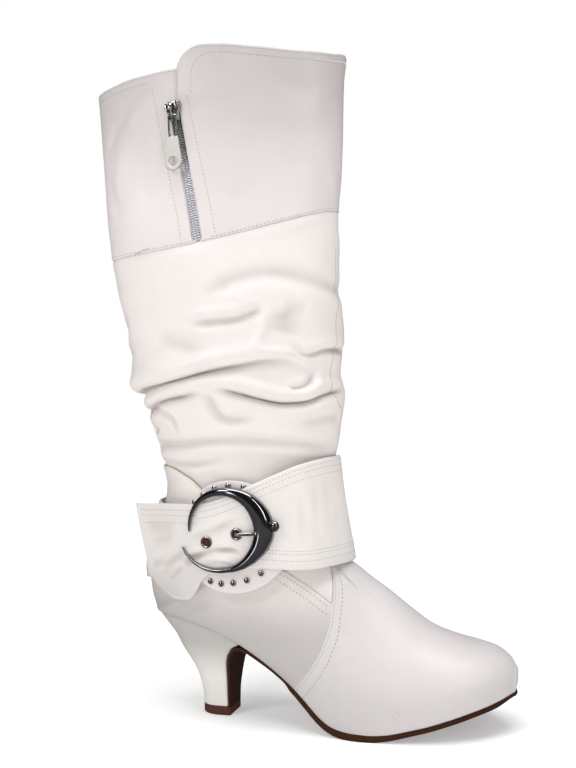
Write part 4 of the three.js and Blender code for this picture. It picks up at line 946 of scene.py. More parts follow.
def shaft_surface(angle, z):
    """Outside of the gathered shaft: the leg's skin, tucked behind the upper below and the cuff above,
    and moved out and down by the folds and a slow unevenness between them."""
    topline = topline_height(angle)
    neck = seam_at(angle) - seam_edge
    emerge = ease(z, topline, topline + ease_length)
    hidden = ease(z, neck + 0.9, neck + 2.0)
    free = emerge * (1 - ease(z, neck - ease_length, neck))
    out, down = fold_field(shaft_folds, angle, z)
    waves = 0.35 * np.sin(3 * angle + z / 11) + 0.25 * np.sin(7 * angle - z / 7 + 1) + 0.2 * np.sin(z / 4.7 + 2 * np.sin(2 * angle))
    under_cuff = mix(0.45 * ease(z, neck - 3, neck), cuff_wall + gap, hidden)
    lift = free * (out + waves) - (upper_wall + tuck_gap) * (1 - emerge) - under_cuff
    point, normal = leg_skin(z, angle)
    point = raised(point, normal, lift)
    point[..., 2] -= free * down
    # The last value, the fold's depth, becomes painted shade in the leather's creases.
    return point, normal, np.clip(-free * out / 7, 0, 0.5)


def make_shaft():
    """The shaft's wall: its outside and, a wall's thickness inside it, the same surface again."""
    dense = lambda a: ((a > -0.4) & (a < 2.9)).astype(float)
    angle = spaced(-np.pi, np.pi, 281, dense, 0.7)[:-1]
    level = spaced(0, 1, 168, lambda v: np.exp(-(((v - 0.48) / 0.19) ** 2)), 1.1)[:, None]
    z = mix(ankle_height + tuck_depth, seam_at(angle)[None] + shaft_lap, level)
    angle = np.broadcast_to(angle, z.shape)
    outside, normal, crease = shaft_surface(angle, z)
    inside = raised(outside, normal, np.full(z.shape, -shaft_wall))
    marks = {"crease": np.stack([crease, crease])}
    put("shaft_leg", slab(outside, inside, wrap=True), shaft_leather, ["shaft"], marks=marks)


# Foot


# X of the seam where the vamp laps over the quarter, by height.
vamp_seam = smooth_curve(
    [(-6, 85.7), (27.5, 104.5), (40, 115), (55, 123.8), (72.5, 128.4), (83.8, 128.6), (103.8, 124.2), (122.5, 112.2)]
)
second_seam = smooth_curve([(84, 108.5), (97.7, 99.7), (112.6, 90.5), (125.8, 81.2), (131, 77.4)])


def foot_lift(point):
    """The lower quarter panel stands a little over the one above it along the second seam."""
    below = second_seam(point[..., 0]) - point[..., 2]
    return 0.6 * ease(below, -0.5, 0.6) * ease(point[..., 0], 70, 92)


def toe_cap(ring, offset, count):
    """Rows that round a ring off to the toe tip: it shrinks by a cosine as it moves out by a sine."""
    t = np.linspace(np.pi / 2, 0, count)[:, None, None]
    middle = ring.mean(0)
    tip = np.array([foot_length + offset - middle[0], 0, 0])
    return middle + (ring - middle) * np.cos(t) + tip * np.sin(t)


def make_foot():
    """The lasted upper: its outside from the toe to the top edge, over a rounded rim, and back inside."""
    angle = spaced(0, turn, 209, lambda a: np.exp(-((np.abs(a - np.pi) - 1.35) / 0.35) ** 2), 0.8)[:-1]
    station = spaced(0, ankle_station, 150, lambda s: np.exp(-(((s - 9) / 3) ** 2)), 0.8)[:, None]
    point, normal = foot_skin(station, angle[None])
    outer = raised(point, normal, foot_lift(point))
    share = np.linspace(0, 1, 22)[1:, None]
    z = mix(ankle_height, topline_height(angle)[None], share)
    leg_point, leg_normal = leg_skin(z, np.broadcast_to(angle, z.shape))
    t = np.linspace(0, np.pi, 7)[1:, None]
    edge = np.broadcast_to(topline_height(angle), (6, len(angle)))
    rim_point, rim_normal = leg_skin(edge, np.broadcast_to(angle, edge.shape))
    rim = raised(rim_point, rim_normal, np.broadcast_to(upper_wall / 2 * (np.cos(t) - 1), edge.shape))
    rim[..., 2] += upper_wall / 2 * np.sin(t)
    inner_z = mix(topline_height(angle)[None], ankle_height, np.linspace(0, 1, 9)[1:, None])
    inner_leg, inner_normal = leg_skin(inner_z, np.broadcast_to(angle, inner_z.shape))
    inner_leg = raised(inner_leg, inner_normal, np.full(inner_z.shape, -upper_wall))
    inner_point, normal = foot_skin(np.linspace(ankle_station, 0.3, 60)[1:, None], angle[None])
    inner = raised(inner_point, normal, np.full(inner_point.shape[:2], -upper_wall))
    cap = toe_cap(outer[0], 0, 9)[:-1]
    inner_end = inner[-1:].mean(1, keepdims=True) + 0 * inner[-1:]
    rows = np.concatenate([cap, outer, leg_point, rim, inner_leg, inner, inner_end])
    shape = rows.reshape(-1, 3), grid_faces(len(rows), len(angle), True)
    put("foot_upper", shape, foot_leather, ["upper"])
    top = raised(rim_point[0], rim_normal[0], np.full(len(angle), -0.9))
    top[:, 2] += 0.35
    path = np.concatenate([top, top[:2]])
    a = np.arange(10) / 10 * turn
    along = unit(np.gradient(path, axis=0))[:-2]
    side = unit(np.cross(along, rim_normal[0]))
    ring = 0.95 * (rim_normal[0][:, None] * np.cos(a)[None, :, None] + side[:, None] * np.sin(a)[None, :, None])
    tube = top[:, None] + ring
    closed = np.concatenate([tube, tube[:1]])
    put("topline_binding", (closed.reshape(-1, 3), grid_faces(len(closed), 10, True)), binding_leather)


def vamp_station(angle, ahead=0.0):
    """Stations on lines of equal angle, set distances ahead of the vamp's seam. Followed from the toe,
    a line meets the seam where it first comes behind the seam's curve, and distances are measured
    along the skin. The lengths of the lines from toe to seam are given too."""
    station = np.linspace(0, 18.6, 745)
    point, _ = foot_skin(station[:, None], angle[None])
    clear = point[..., 0] - vamp_seam(point[..., 2])
    clear[-1] = -1e-3
    crossing = (clear < 0).argmax(0)
    column = np.arange(len(angle))
    before = clear[crossing - 1, column]
    share = before / (before - clear[crossing, column])
    steps = np.linalg.norm(np.diff(point, axis=0), axis=-1)
    length = np.concatenate([np.zeros((1, len(angle))), np.cumsum(steps, 0)])
    to_seam = mix(length[crossing - 1, column], length[crossing, column], share)
    apart = column * 1000.0
    at = np.maximum(to_seam - ahead, 0) + apart
    return np.interp(at, (length + apart).T.ravel(), np.tile(station, len(angle))), to_seam


def make_vamp():
    """The vamp: a skin over the toe that starts at its seam with a rounded cut edge and ends in the toe
    cap. Under the foot it thins out so that the sole lies close."""
    angle = spaced(0, turn, 241, lambda a: np.exp(-((np.abs(a - np.pi) - 1.35) / 0.35) ** 2), 0.8)[:-1]
    _, length = vamp_station(angle)
    edge = np.array([0, 0, 0.12, 0.35, 0.8, 1.6])[:, None] + 0 * length
    rest = mix(edge[-1:], length, (np.arange(1, 111)[:, None] / 110) ** 1.15)
    station, _ = vamp_station(angle, np.concatenate([edge, rest]))
    fold = np.abs(np.mod(angle, turn) - np.pi)
    full = mix(0.2, vamp_step + 0.15, ease(fold, 0.35, 0.75))[None]
    height = np.concatenate([np.array([-0.6, 0.15, 0.62, 0.9, 1, 1])[:, None], np.ones((110, 1))])
    point, normal = foot_skin(station, angle[None])
    outer = raised(point, normal, height * full)
    back = raised(point, normal, np.full(station.shape, -0.8))
    back[0] = outer[0]
    outer_cap = toe_cap(outer[-1], 0.1, 9)[::-1][1:]
    back_cap = toe_cap(back[-1], -0.8, 9)[::-1][1:]
    outer = np.concatenate([outer, outer_cap])
    back = np.concatenate([back, back_cap])
    put("foot_vamp", slab(outer, back, wrap=True), vamp_leather, ["upper"])


def foot_path(points, lift, side=-1):
    """A line over the foot given as (X, height) points on one side: each is found on the skin by its
    nearest station and angle."""
    given = np.array(points, float)
    at = np.concatenate([[0], np.cumsum(np.hypot(*np.diff(given, axis=0).T))])
    share = np.linspace(0, at[-1], int(at[-1]) + 2)
    line = np.stack([smooth_curve(np.stack([at, given[:, i]], 1))(share) for i in (0, 1)], 1)
    station, angle = np.meshgrid(np.linspace(2, 19, 500), np.linspace(0.02, 2.6, 320), indexing="ij")
    point, normal = foot_skin(station, angle)
    flat = point.reshape(-1, 3)
    order = ((flat[None, :, 0] - line[:, None, 0]) ** 2 + (flat[None, :, 2] - line[:, None, 1]) ** 2).argmin(1)
    found = flat[order]
    out = normal.reshape(-1, 3)[order]
    if side > 0:
        section_centre = 0.0
        found = found * (1, -1, 1) + (0, 2 * section_centre, 0)
        out = out * (1, -1, 1)
    kernel = np.ones(5) / 5
    padded = np.pad(found, ((2, 2), (0, 0)), mode="edge")
    smooth = np.stack([np.convolve(padded[:, i], kernel, "valid") for i in range(3)], 1)
    smooth[0] = found[0]
    smooth[-1] = found[-1]
    return raised(smooth, out, np.full(len(smooth), lift)), out


def vamp_row(ahead, end=2.52):
    """A line on the vamp a set distance ahead of its seam, over both sides of the foot."""
    angle = np.linspace(-end, end, 220)
    station, _ = vamp_station(np.mod(angle, turn), ahead)
    point, normal = foot_skin(station, angle)
    return raised(point, normal, np.full(len(angle), vamp_step + 0.15)), normal


def make_foot_stitching():
    """Two rows ahead of the vamp's seam and two under the second seam, on both sides."""
    rows = [stitches(*vamp_row(1.9), pitch=2.0, thick=0.24), stitches(*vamp_row(7.8), pitch=2.6, thick=0.3)]
    for side in (-1, 1):
        for drop in (2.6, 7.4):
            line = [(x, second_seam(x) - drop) for x in (88.0, 96.0, 105.0, 115.0, 126.4)]
            rows.append(stitches(*foot_path(line, 0.62, side), pitch=2.4, thick=0.26))
    put("foot_stitching", joined(rows), thread)


# Cuff


def leg_angle(x, z):
    """Angle of the leg's skin on the outer side at an X and a height."""
    part = leg_section(z)
    return np.arccos(np.clip((2 * x - part["low_x"] - part["top_x"]) / (part["top_x"] - part["low_x"]), -1, 1))


def zip_x(z):
    return mix(zip_foot[0], zip_top[0], (z - zip_foot[1]) / (zip_top[1] - zip_foot[1]))


collar_line = smooth_curve(
    [
        (-264, 414.8),
        (-258, 414.7),
        (-248, 414),
        (-236, 413.4),
        (-218, 411.7),
        (-203, 411.4),
        (-180, 411.5),
        (-125, 413.8),
        (-70, 418.7),
        (-30, 421.8),
        (0, 422.4),
        (22, 420.3),
        (42, 420.6),
        (66, 424.1),
        (77, 426.5),
        (86, 427.4),
        (91, 427.5),
    ]
)
panel_edge = 98.8  # angle of the front panel's standing edge, over the zip
corner_radius = 17.0
corner_turn = 11.8  # angle that the corner takes up


def cuff_top(angle):
    """Top edge of the cuff, with the quarter circle that rounds the front panel's corner."""
    turned = np.degrees(angle)
    past = np.clip((turned - (panel_edge - corner_turn)) * corner_radius / corner_turn, 0, corner_radius * 0.998)
    return collar_line(turned) - (corner_radius - np.sqrt(corner_radius**2 - past**2))


def cuff_edges(z):
    """Angles of the cuff's two ends at a height: the zip's slot, closed at its foot, and over the zip
    the front panel's edge with the back panel tucked under it."""
    half = slot_half * ease(z, 303.5, 307)
    over = ease(z, 385.5, 392.5)
    front = mix(leg_angle(zip_x(z) + half, z), np.radians(panel_edge), over)
    rear = mix(leg_angle(zip_x(z) - half, z), np.radians(95.5), over)
    return front, rear - turn


def cuff_surface(angle, z):
    """Outside of the cuff: the leg's skin with a slow unevenness, proud at the front panel's edge and
    sunk where the back panel goes under it."""
    point, normal = leg_skin(z, angle)
    over = ease(z, 386, 398)
    turned = np.degrees(angle)
    proud = 1.25 * over * ease(turned, 70, 96)
    sunk = 1.0 * over * (1 - ease(turned, -264, -252))
    waves = 0.5 * np.sin(2 * angle + z / 23) + 0.3 * np.sin(5 * angle - z / 31) + 0.25 * np.sin(z / 17 + 3 * angle)
    calm = ease(z, seam_at(angle), seam_at(angle) + 25) * (1 - ease(z, cuff_top(angle) - 18, cuff_top(angle)))
    dent = fold_field(cuff_dents, angle, z)[0]
    return point, normal, proud - sunk + waves * calm + dent


cuff_dents = [
    dict(line=[(113, 404), (127, 394), (140, 380), (150, 366)], deep=1.3, wide=3.6, lip=0.5, fade=(0.25, 0.3)),
    dict(line=[(112, 393), (122, 384), (130, 370), (138, 350), (143, 330)], deep=-1.1, wide=5.0, fade=(0.25, 0.3)),
    dict(line=[(150, 352), (143, 338), (136, 322)], deep=0.9, wide=5.0, fade=(0.3, 0.3)),
    dict(line=[(122, 366), (117, 345), (116, 325)], deep=0.7, wide=5.0, fade=(0.3, 0.3)),
    dict(line=[(55, 403), (44, 398), (30, 392)], deep=0.7, wide=6.0, fade=(0.3, 0.3)),
    dict(line=[(48, 382), (46, 360), (40, 338)], deep=0.9, wide=11.0, fade=(0.3, 0.3)),
    dict(line=[(24, 366), (16, 350), (8, 332)], deep=-0.9, wide=5.0, fade=(0.3, 0.3)),
    dict(line=[(-60, 400), (-70, 365), (-60, 335)], deep=1.0, wide=9.0, fade=(0.3, 0.3)),
    dict(line=[(-130, 395), (-140, 365), (-132, 330)], deep=1.0, wide=8.0, fade=(0.3, 0.3)),
]


def edge_round(distance, radius):
    """Half thickness share near an edge: a quarter circle of the radius."""
    inside = np.clip(distance / radius, 0, 1)
    return np.sqrt(np.clip(1 - (1 - inside) ** 2, 0, 1))


def make_cuff():
    """The cuff as one band from the back panel's edge at the zip round to the front panel's edge, with
    rounded edges all round."""
    level = np.concatenate([[0, 0.004, 0.012], np.linspace(0.025, 0.975, 74), [0.988, 0.996, 1]])[:, None]
    share = np.concatenate([[0, 0.0008, 0.0025], np.linspace(0.005, 0.93, 200), np.linspace(0.932, 0.997, 34), [0.9985, 0.9995, 1]])[None]
    angle = mix(-4.6, 1.72, share) + 0 * level
    for _ in range(6):
        z = mix(seam_at(angle), cuff_top(angle), level)
        front, rear = cuff_edges(z)
        angle = mix(rear, front, share)
    z = mix(seam_at(angle), cuff_top(angle), level)
    point, normal, lift = cuff_surface(angle, z)
    height = cuff_top(angle) - seam_at(angle)
    to_edge = np.minimum(level * height, (1 - level) * height)
    long = (front - rear) * 58
    to_edge = np.minimum(to_edge, np.minimum(share * long, (1 - share) * long))
    half = cuff_wall / 2 * edge_round(to_edge, 0.8)
    front_face = raised(point, normal, lift - cuff_wall / 2 + half)
    back_face = raised(point, normal, lift - cuff_wall / 2 - half)
    put("cuff_panels", slab(front_face, back_face), cuff_leather, ["cuff"])


def cuff_path(points, count=160):
    """A line on the cuff through (angle, height) points."""
    given = np.array(points, float)
    at = np.concatenate([[0], np.cumsum(np.hypot(*np.diff(given * (1.3, 1), axis=0).T))])
    share = np.linspace(0, at[-1], count)
    line = np.stack([smooth_curve(np.stack([at, given[:, i]], 1))(share) for i in (0, 1)], 1)
    angle = np.radians(line[:, 0])
    point, normal, lift = cuff_surface(angle, line[:, 1])
    return raised(point, normal, lift), normal


def make_cuff_stitching():
    """Rows inside the collar's edge, beside the zip, and over the cuff's seam."""
    turned = np.arange(-246, 89.1, 3.0)
    top = np.stack([turned, cuff_top(np.radians(turned)) - 5.6], 1)
    corner = [(83, 421.6), (86.8, 420.4), (90, 417), (91.6, 411.5), (92.1, 404), (91.9, 397)]
    front_top = np.concatenate([top[(turned >= 14) & (turned < 80)], corner])
    rows = [stitches(*cuff_path(top[turned <= 14], 300), pitch=2.4, thick=0.27)]
    rows.append(stitches(*cuff_path(front_top, 200), pitch=2.4, thick=0.27))
    edge = np.arange(-262, 92.1, 3.0)
    edge = np.stack([edge, cuff_top(np.radians(edge)) - 1.5], 1)
    rows.append(stitches(*cuff_path(edge, 420), pitch=2.0, thick=0.28))
    for high, low, across_high, across_low, back in ((407, 303, -13.4, -10.4, 360), (397, 309, 10.6, 12.9, 0)):
        heights = np.linspace(high, low, 24)
        across = np.linspace(across_high, across_low, 24)
        line = np.stack([np.degrees(leg_angle(zip_x(heights) + across, heights)) - back, heights], 1)
        rows.append(stitches(*cuff_path(line), pitch=2.3, thick=0.25))
    turned = np.arange(-268, 86.1, 4.0)
    line = np.stack([turned, seam_at(np.radians(turned)) + 1.3], 1)
    rows.append(stitches(*cuff_path(line, 360), pitch=2.6, thick=0.26))
    put("cuff_stitching", joined(rows), thread)
    bright = np.stack([np.arange(-40, 34.1, 3.0), cuff_top(np.radians(np.arange(-40, 34.1, 3.0))) - 4.9], 1)
    put("collar_pale_thread", stitches(*cuff_path(bright), pitch=2.4, thick=0.38), pale_thread)
    frayed = []
    for line, lift in (
        ([(128, 299.5), (126, 301.0), (124, 301.2)], 0.4),
        ([(125, 300), (121, 302.3), (117, 303)], 0.6),
    ):
        path, normal = cuff_path(line, 16)
        frayed.append(carried(raised(path, normal, lift * np.sin(np.linspace(0.2, 2.6, 16))), 0.16, normal, sides=6))
    put("frayed_thread", joined(frayed), thread)


# Zip


def zip_strip(across, z, lift):
    """A point beside the zip line on the leg, at a lift from its skin."""
    point, normal = leg_skin(z, leg_angle(zip_x(z) + across, z))
    return raised(point, normal, np.broadcast_to(lift, z.shape)), normal


def make_zip():
    """The tape behind the slot, and two rows of teeth that mesh along the zip line."""
    low = seam_at(leg_angle(zip_foot[0], zip_foot[1])) + 0.8
    z = np.linspace(low, zip_top[1] + 4, 70)[:, None] + np.zeros((1, 9))
    across = np.linspace(-tape_width / 2, tape_width / 2, 9)[None] + 0 * z
    front, _ = zip_strip(across, z, -cuff_wall - gap)
    back, _ = zip_strip(across, z, -cuff_wall - gap - tape_thickness)
    put("zip_tape_cloth", slab(front, back), tape_cloth, ["zip_tape"])
    pitch = 1.55
    count = int((zip_top[1] - 8 - low) / pitch)
    at = low + pitch * (np.arange(count) + 0.5)
    teeth = []
    for side in (-1, 1):
        height = at + (pitch / 4) * side
        centre, out = zip_strip(np.full(count, side * 1.25), height, -cuff_wall + 0.35)
        beyond, _ = zip_strip(np.full(count, side * 1.25 + 1), height, -cuff_wall + 0.35)
        across_way = unit(beyond - centre)
        along_way = np.cross(out, across_way)
        t = np.linspace(-1, 1, 6)
        wide = np.where(t * side > 0.2, 0.8, 1.0) * np.sqrt(np.clip(1 - t**6, 0.0, 1))
        a = np.arange(8) / 8 * turn
        ring_along = 0.62 * wide[:, None] * np.sign(np.cos(a)) * np.abs(np.cos(a)) ** 0.6
        ring_out = 0.75 * wide[:, None] * np.sign(np.sin(a)) * np.abs(np.sin(a)) ** 0.6
        local = centre[:, None, None] + (1.55 * t)[None, :, None, None] * across_way[:, None, None]
        local = local + ring_along[None, ..., None] * along_way[:, None, None]
        local = local + ring_out[None, ..., None] * out[:, None, None]
        faces = (np.arange(count)[:, None, None] * 48 + grid_faces(6, 8, True)[None]).reshape(-1, 4)
        teeth.append((local.reshape(-1, 3), faces))
    put("zip_teeth", joined(teeth), teeth_silver)
    cords = []
    for side in (-1, 1):
        height = np.linspace(low, zip_top[1] - 6, 60)
        path, normal = zip_strip(np.full(60, side * 2.95), height, -cuff_wall + 0.1)
        cords.append(carried(path, 0.38, normal, sides=8))
    put("zip_cords", joined(cords), tape_cloth)


def slider_axes():
    """The slider's origin on the skin, the zip's direction, the way across it and outwards."""
    z = zip_top[1] - slider_length / 2
    origin, _ = leg_skin(np.array(z - slider_drop), leg_angle(zip_x(z - slider_drop), z - slider_drop))
    _, out = leg_skin(np.array(zip_top[1]), leg_angle(zip_x(zip_top[1]), zip_top[1]))
    line = unit(np.array([zip_foot[0] - zip_top[0], 0, zip_foot[1] - zip_top[1]]))
    across = unit(np.cross(out, line))
    return origin, across, np.cross(across, out), out


def on_slider(across, down, out):
    origin, side, along, outward = slider_axes()
    across, down, out = np.broadcast_arrays(across, down, out)
    return origin + across[..., None] * side + down[..., None] * along + out[..., None] * outward


slider_half = smooth_curve(
    [(-0.5, 0.24), (-0.46, 0.4), (-0.38, 0.49), (-0.2, 0.5), (-0.02, 0.4), (0.2, 0.3), (0.42, 0.27), (0.5, 0.22)]
)
slider_drop = 1.6  # the worn slider sits this much lower on its teeth


def make_slider():
    """The slider: a pillowed plate waisted towards its foot, a lower plate, two side flanges, and an
    arched bridge that holds the pull's loop."""
    down = np.linspace(-0.5, 0.5, 40)[:, None]
    share = np.linspace(-1, 1, 25)[None]
    half = slider_half(down) * slider_width
    rim = edge_round((1 - np.abs(share)) * half, 1.2) * edge_round((0.5 - np.abs(down)) * slider_length, 1.0)
    crown = 0.5 * (1 - share**2)
    flange = 1.1 * np.exp(-(((np.abs(share) - 0.78) / 0.13) ** 2)) * ease(0.5 - np.abs(down), 0.0, 0.15)
    top = gap + slider_thickness * (0.45 + 0.55 * rim) + (crown + flange) * rim
    face = on_slider(half * share, down * slider_length, top)
    under = on_slider(half * share, down * slider_length, gap + 0 * top)
    t = np.linspace(0, np.pi, 30)
    path_down = (-0.34 * np.cos(t) + 0.05) * slider_length
    path_out = gap + slider_thickness - 0.4 + (bridge_height + 0.1) * np.sin(t) ** 0.55
    bridge_path = on_slider(0 * t, path_down, path_out)
    _, side, _, _ = slider_axes()
    wide = bridge_width / 2 * (1 + 0.35 * np.cos(t) ** 2)
    bridge = carried(bridge_path, wide, side, sides=12, depth=1.0)
    flat = on_slider(0 * t, path_down, path_out)
    points, faces = bridge
    put("zip_slider_body", joined([slab(face, under), (points, faces)]), zip_nickel, ["zip_slider"], crisp=50)


def make_pull():
    """The pull tab, hanging plumb from the slider: a wire loop, and a plate that widens to a round end
    with a round hole. The plate is a ring of rows from the hole's edge to its outline."""
    _, _, _, outward = slider_axes()
    level_out = unit(np.array([outward[0], outward[1], 0]))
    axis = unit(np.array([outward[1], -outward[0], 0]))
    pivot = on_slider(0.0, 0.22 * slider_length, gap + slider_thickness + bridge_eye - gap - loop_wire / 2)

    def at(across, down, out):
        across, down, out = np.broadcast_arrays(across, down, out)
        return pivot + across[..., None] * axis + out[..., None] * level_out - down[..., None] * np.array([0, 0, 1.0])

    start = 0.385 * pull_length
    end_radius = 0.57 * pull_width
    centre = pull_length - end_radius
    neck = 0.35 * pull_width
    a = (np.arange(96) + 0.5) / 96 * turn
    ray = np.stack([np.sin(a), np.cos(a)], 1)
    reach_top = (centre - start) / np.maximum(-ray[:, 1], 1e-6)
    lean = (end_radius - neck) / (centre - start)
    reach_side = end_radius / np.maximum(np.abs(ray[:, 0]) - lean * ray[:, 1], 1e-6)
    reach_side = np.where(ray[:, 1] < 0, end_radius / np.maximum(np.abs(ray[:, 0]) - lean * ray[:, 1], 1e-6), end_radius)
    outline = np.where(ray[:, 1] < 0, np.minimum(reach_top, reach_side), end_radius)
    level = np.concatenate([[0, 0.03, 0.1], np.linspace(0.2, 0.8, 6), [0.9, 0.97, 1]])[:, None]
    radius = mix(1.12 * pull_hole, outline[None], level)
    edge = np.minimum(level, 1 - level) * (outline[None] - 1.12 * pull_hole)
    half = pull_thickness / 2 * (0.35 + 0.65 * edge_round(edge, 0.45))
    across = radius * ray[None, :, 0]
    down = centre + radius * ray[None, :, 1]
    front = at(across, down, half)
    back = at(across, down, -half)
    plate = slab(front, back, wrap=True)
    plate = plate[0], np.concatenate([plate[1]])
    reach = bridge_width / 2 + loop_wire + gap
    t = np.linspace(0, 1, 60)
    spread = reach * np.sin(np.pi * np.clip(t * 1.0, 0, 1)) ** 0.35
    left_down = start + 1.2
    loop_across = np.concatenate([np.linspace(-neck * 0.55, -reach, 14), np.linspace(-reach, -reach, 6)[1:], reach * -np.cos(np.linspace(0, np.pi, 22))[1:-1], np.linspace(reach, reach, 6)[:-1], np.linspace(reach, neck * 0.55, 14)])
    loop_down = np.concatenate([np.linspace(left_down, 0.55 * start, 14), np.linspace(0.55 * start, 0.9, 6)[1:], 0.9 - 0.9 * np.sin(np.linspace(0, np.pi, 22))[1:-1], np.linspace(0.9, 0.55 * start, 6)[:-1], np.linspace(0.55 * start, left_down, 14)])
    wire = carried(at(loop_across, loop_down, 0 * loop_down), 0.72 * loop_wire, level_out, sides=10)
    put("zip_pull_tab", plate, pull_silver, ["zip_pull"], body="pull_tab", crisp=40)
    put("zip_pull_loop", wire, zip_nickel, ["zip_pull"], body="pull_tab")


# Sole and heel

heel = columns(
    "up rear breast half",
    [
        (0, 0, 0, 0),
        (0.13, 0.01, 0.01, 0.04),
        (0.33, 0.1, 0.09, 0.22),
        (0.46, 0.22, 0.17, 0.42),
        (0.57, 0.36, 0.33, 0.61),
        (0.66, 0.48, 0.62, 0.74),
        (0.74, 0.58, 0.96, 0.84),
        (0.86, 0.78, 1, 0.94),
        (0.97, 0.95, 1, 0.99),
        (1, 0.985, 1, 1),
    ],
    at=0,
)
heel_base = top_piece_height + gap
breast_tip = heel_tip_rear + heel_tip_length


def heel_outline(count):
    """A D-shaped outline in shares: a half ellipse at the back, straight sides, and a flat front with
    small round corners. X goes from 0 at the back to 1 at the front, Y from -1 to 1."""
    back = np.linspace(-np.pi / 2, np.pi / 2, count)
    x = 0.64 - 0.64 * np.cos(back)
    y = np.sin(back)
    side = np.linspace(0.64, 0.93, 8)[1:]
    corner = np.linspace(0, np.pi / 2, 6)[1:]
    front = np.linspace(0.9, -0.9, 9)[1:-1]
    x = np.concatenate([x, side, 0.93 + 0.07 * np.sin(corner), 1 + 0 * front, 0.93 + 0.07 * np.sin(corner[::-1]), side[::-1]])
    corner_y = 0.9 + 0.1 * np.cos(corner)
    y = np.concatenate([y, 1 + 0 * side, corner_y, front, -corner_y[::-1], -1 + 0 * side])
    return x, y


def heel_rings(z, shrink=0.0):
    """Rings of the heel at given heights, one height for each point of the outline."""
    x_share, y_share = heel_outline(44)
    up = (z - heel_base) / (seat_height - heel_base)
    rear = mix(heel_tip_rear, 0, heel["rear"](up)) + shrink + 1.7 * ease(z, 38, 60)
    front = mix(breast_tip, breast_top, heel["breast"](up)) - breast_flap - gap - shrink
    front = front + 3.0 * ease(z, 46.5, 50.5)
    half = mix(heel_tip_width / 2, seat_half_width, heel["half"](up)) - shrink
    return np.stack([mix(rear, front, x_share), half * y_share, z], -1)


def underside(part, y):
    """Height of the upper's underside at a distance from the middle: the flat bottom, then the rise of
    the wall past its edge."""
    out = np.clip(np.abs(y) / part["half"], 0, 0.999)
    corner = np.clip((out - part["bottom"]) / np.maximum(1 - part["bottom"], 1e-6), 0, 1)
    sine = np.sqrt(1 - np.clip(corner ** (part["wall"] / 2), 0, 1) ** 2)
    height = part["seat"] * (1 - sine ** (2 / part["wall"]))
    return mix(part["low_z"], part["top_z"], np.clip(height, 0, 0.2))


def seat_skin(x, y):
    """Height of the upper's underside over a point of the heel seat."""
    stations = np.linspace(16, 8, 200)
    station = np.interp(np.clip(x, -1.5, 100), last["sole"](stations) * foot_length, stations)
    return underside(foot_section(station), y)


def make_heel():
    """The covered heel: rings from the tip up, the last one lying under the upper."""
    x_share, _ = heel_outline(44)
    top = np.full(len(x_share), seat_height - 1)
    for _ in range(6):
        ring = heel_rings(top)
        top = np.minimum(seat_skin(ring[:, 0], ring[:, 1]) + 0.15, seat_height + 6)
    level = np.concatenate([[0, 0.006, 0.015], np.linspace(0.03, 1, 60)])[:, None]
    z = mix(heel_base, top[None], level)
    rows = heel_rings(z)
    middle = rows[:1].mean(1, keepdims=True)
    squeeze = np.array([0.975, 0.993, 1.0])[:, None, None]
    rows[:3] = middle + (rows[:3] - middle) * np.concatenate([squeeze, squeeze, squeeze * 0 + 1], -1)
    put("heel_cover", closed_tube(rows), heel_leather, ["heel"])
    edge = rows[-1, :]
    around = (edge[:, 0] < 62) | (np.abs(edge[:, 1]) > 24)
    start = int(np.argmin(around))
    edge = np.roll(edge, -start, axis=0)[np.argmax(np.roll(around, -start)):]
    edge = edge[edge[:, 0] < 62.5]
    out = unit((edge - edge.mean(0)) * (1, 1, 0))
    line = raised(edge, out, np.full(len(edge), 0.2)) + (0, 0, 0.1)
    put("heel_seat_seam", carried(line, 0.32, out, sides=8), seam_shade)
    flat = heel_rings(np.full(len(x_share), heel_base))
    tip_x = mix(heel_tip_rear, breast_tip, x_share)
    ring = np.stack([tip_x, flat[:, 1], flat[:, 2]], -1)
    centre = ring.mean(0)
    rows = []
    for z_at, size in ((0, 0.955), (0.25, 0.985), (0.7, 1.0), (2.5, 1.004), (5.0, 1.0), (top_piece_height, 0.995)):
        layer = centre + (ring - centre) * size
        layer[:, 2] = z_at
        rows.append(layer)
    put("heel_tip_piece", closed_tube(np.array(rows)), tip_brown, ["top_piece"], crisp=55)


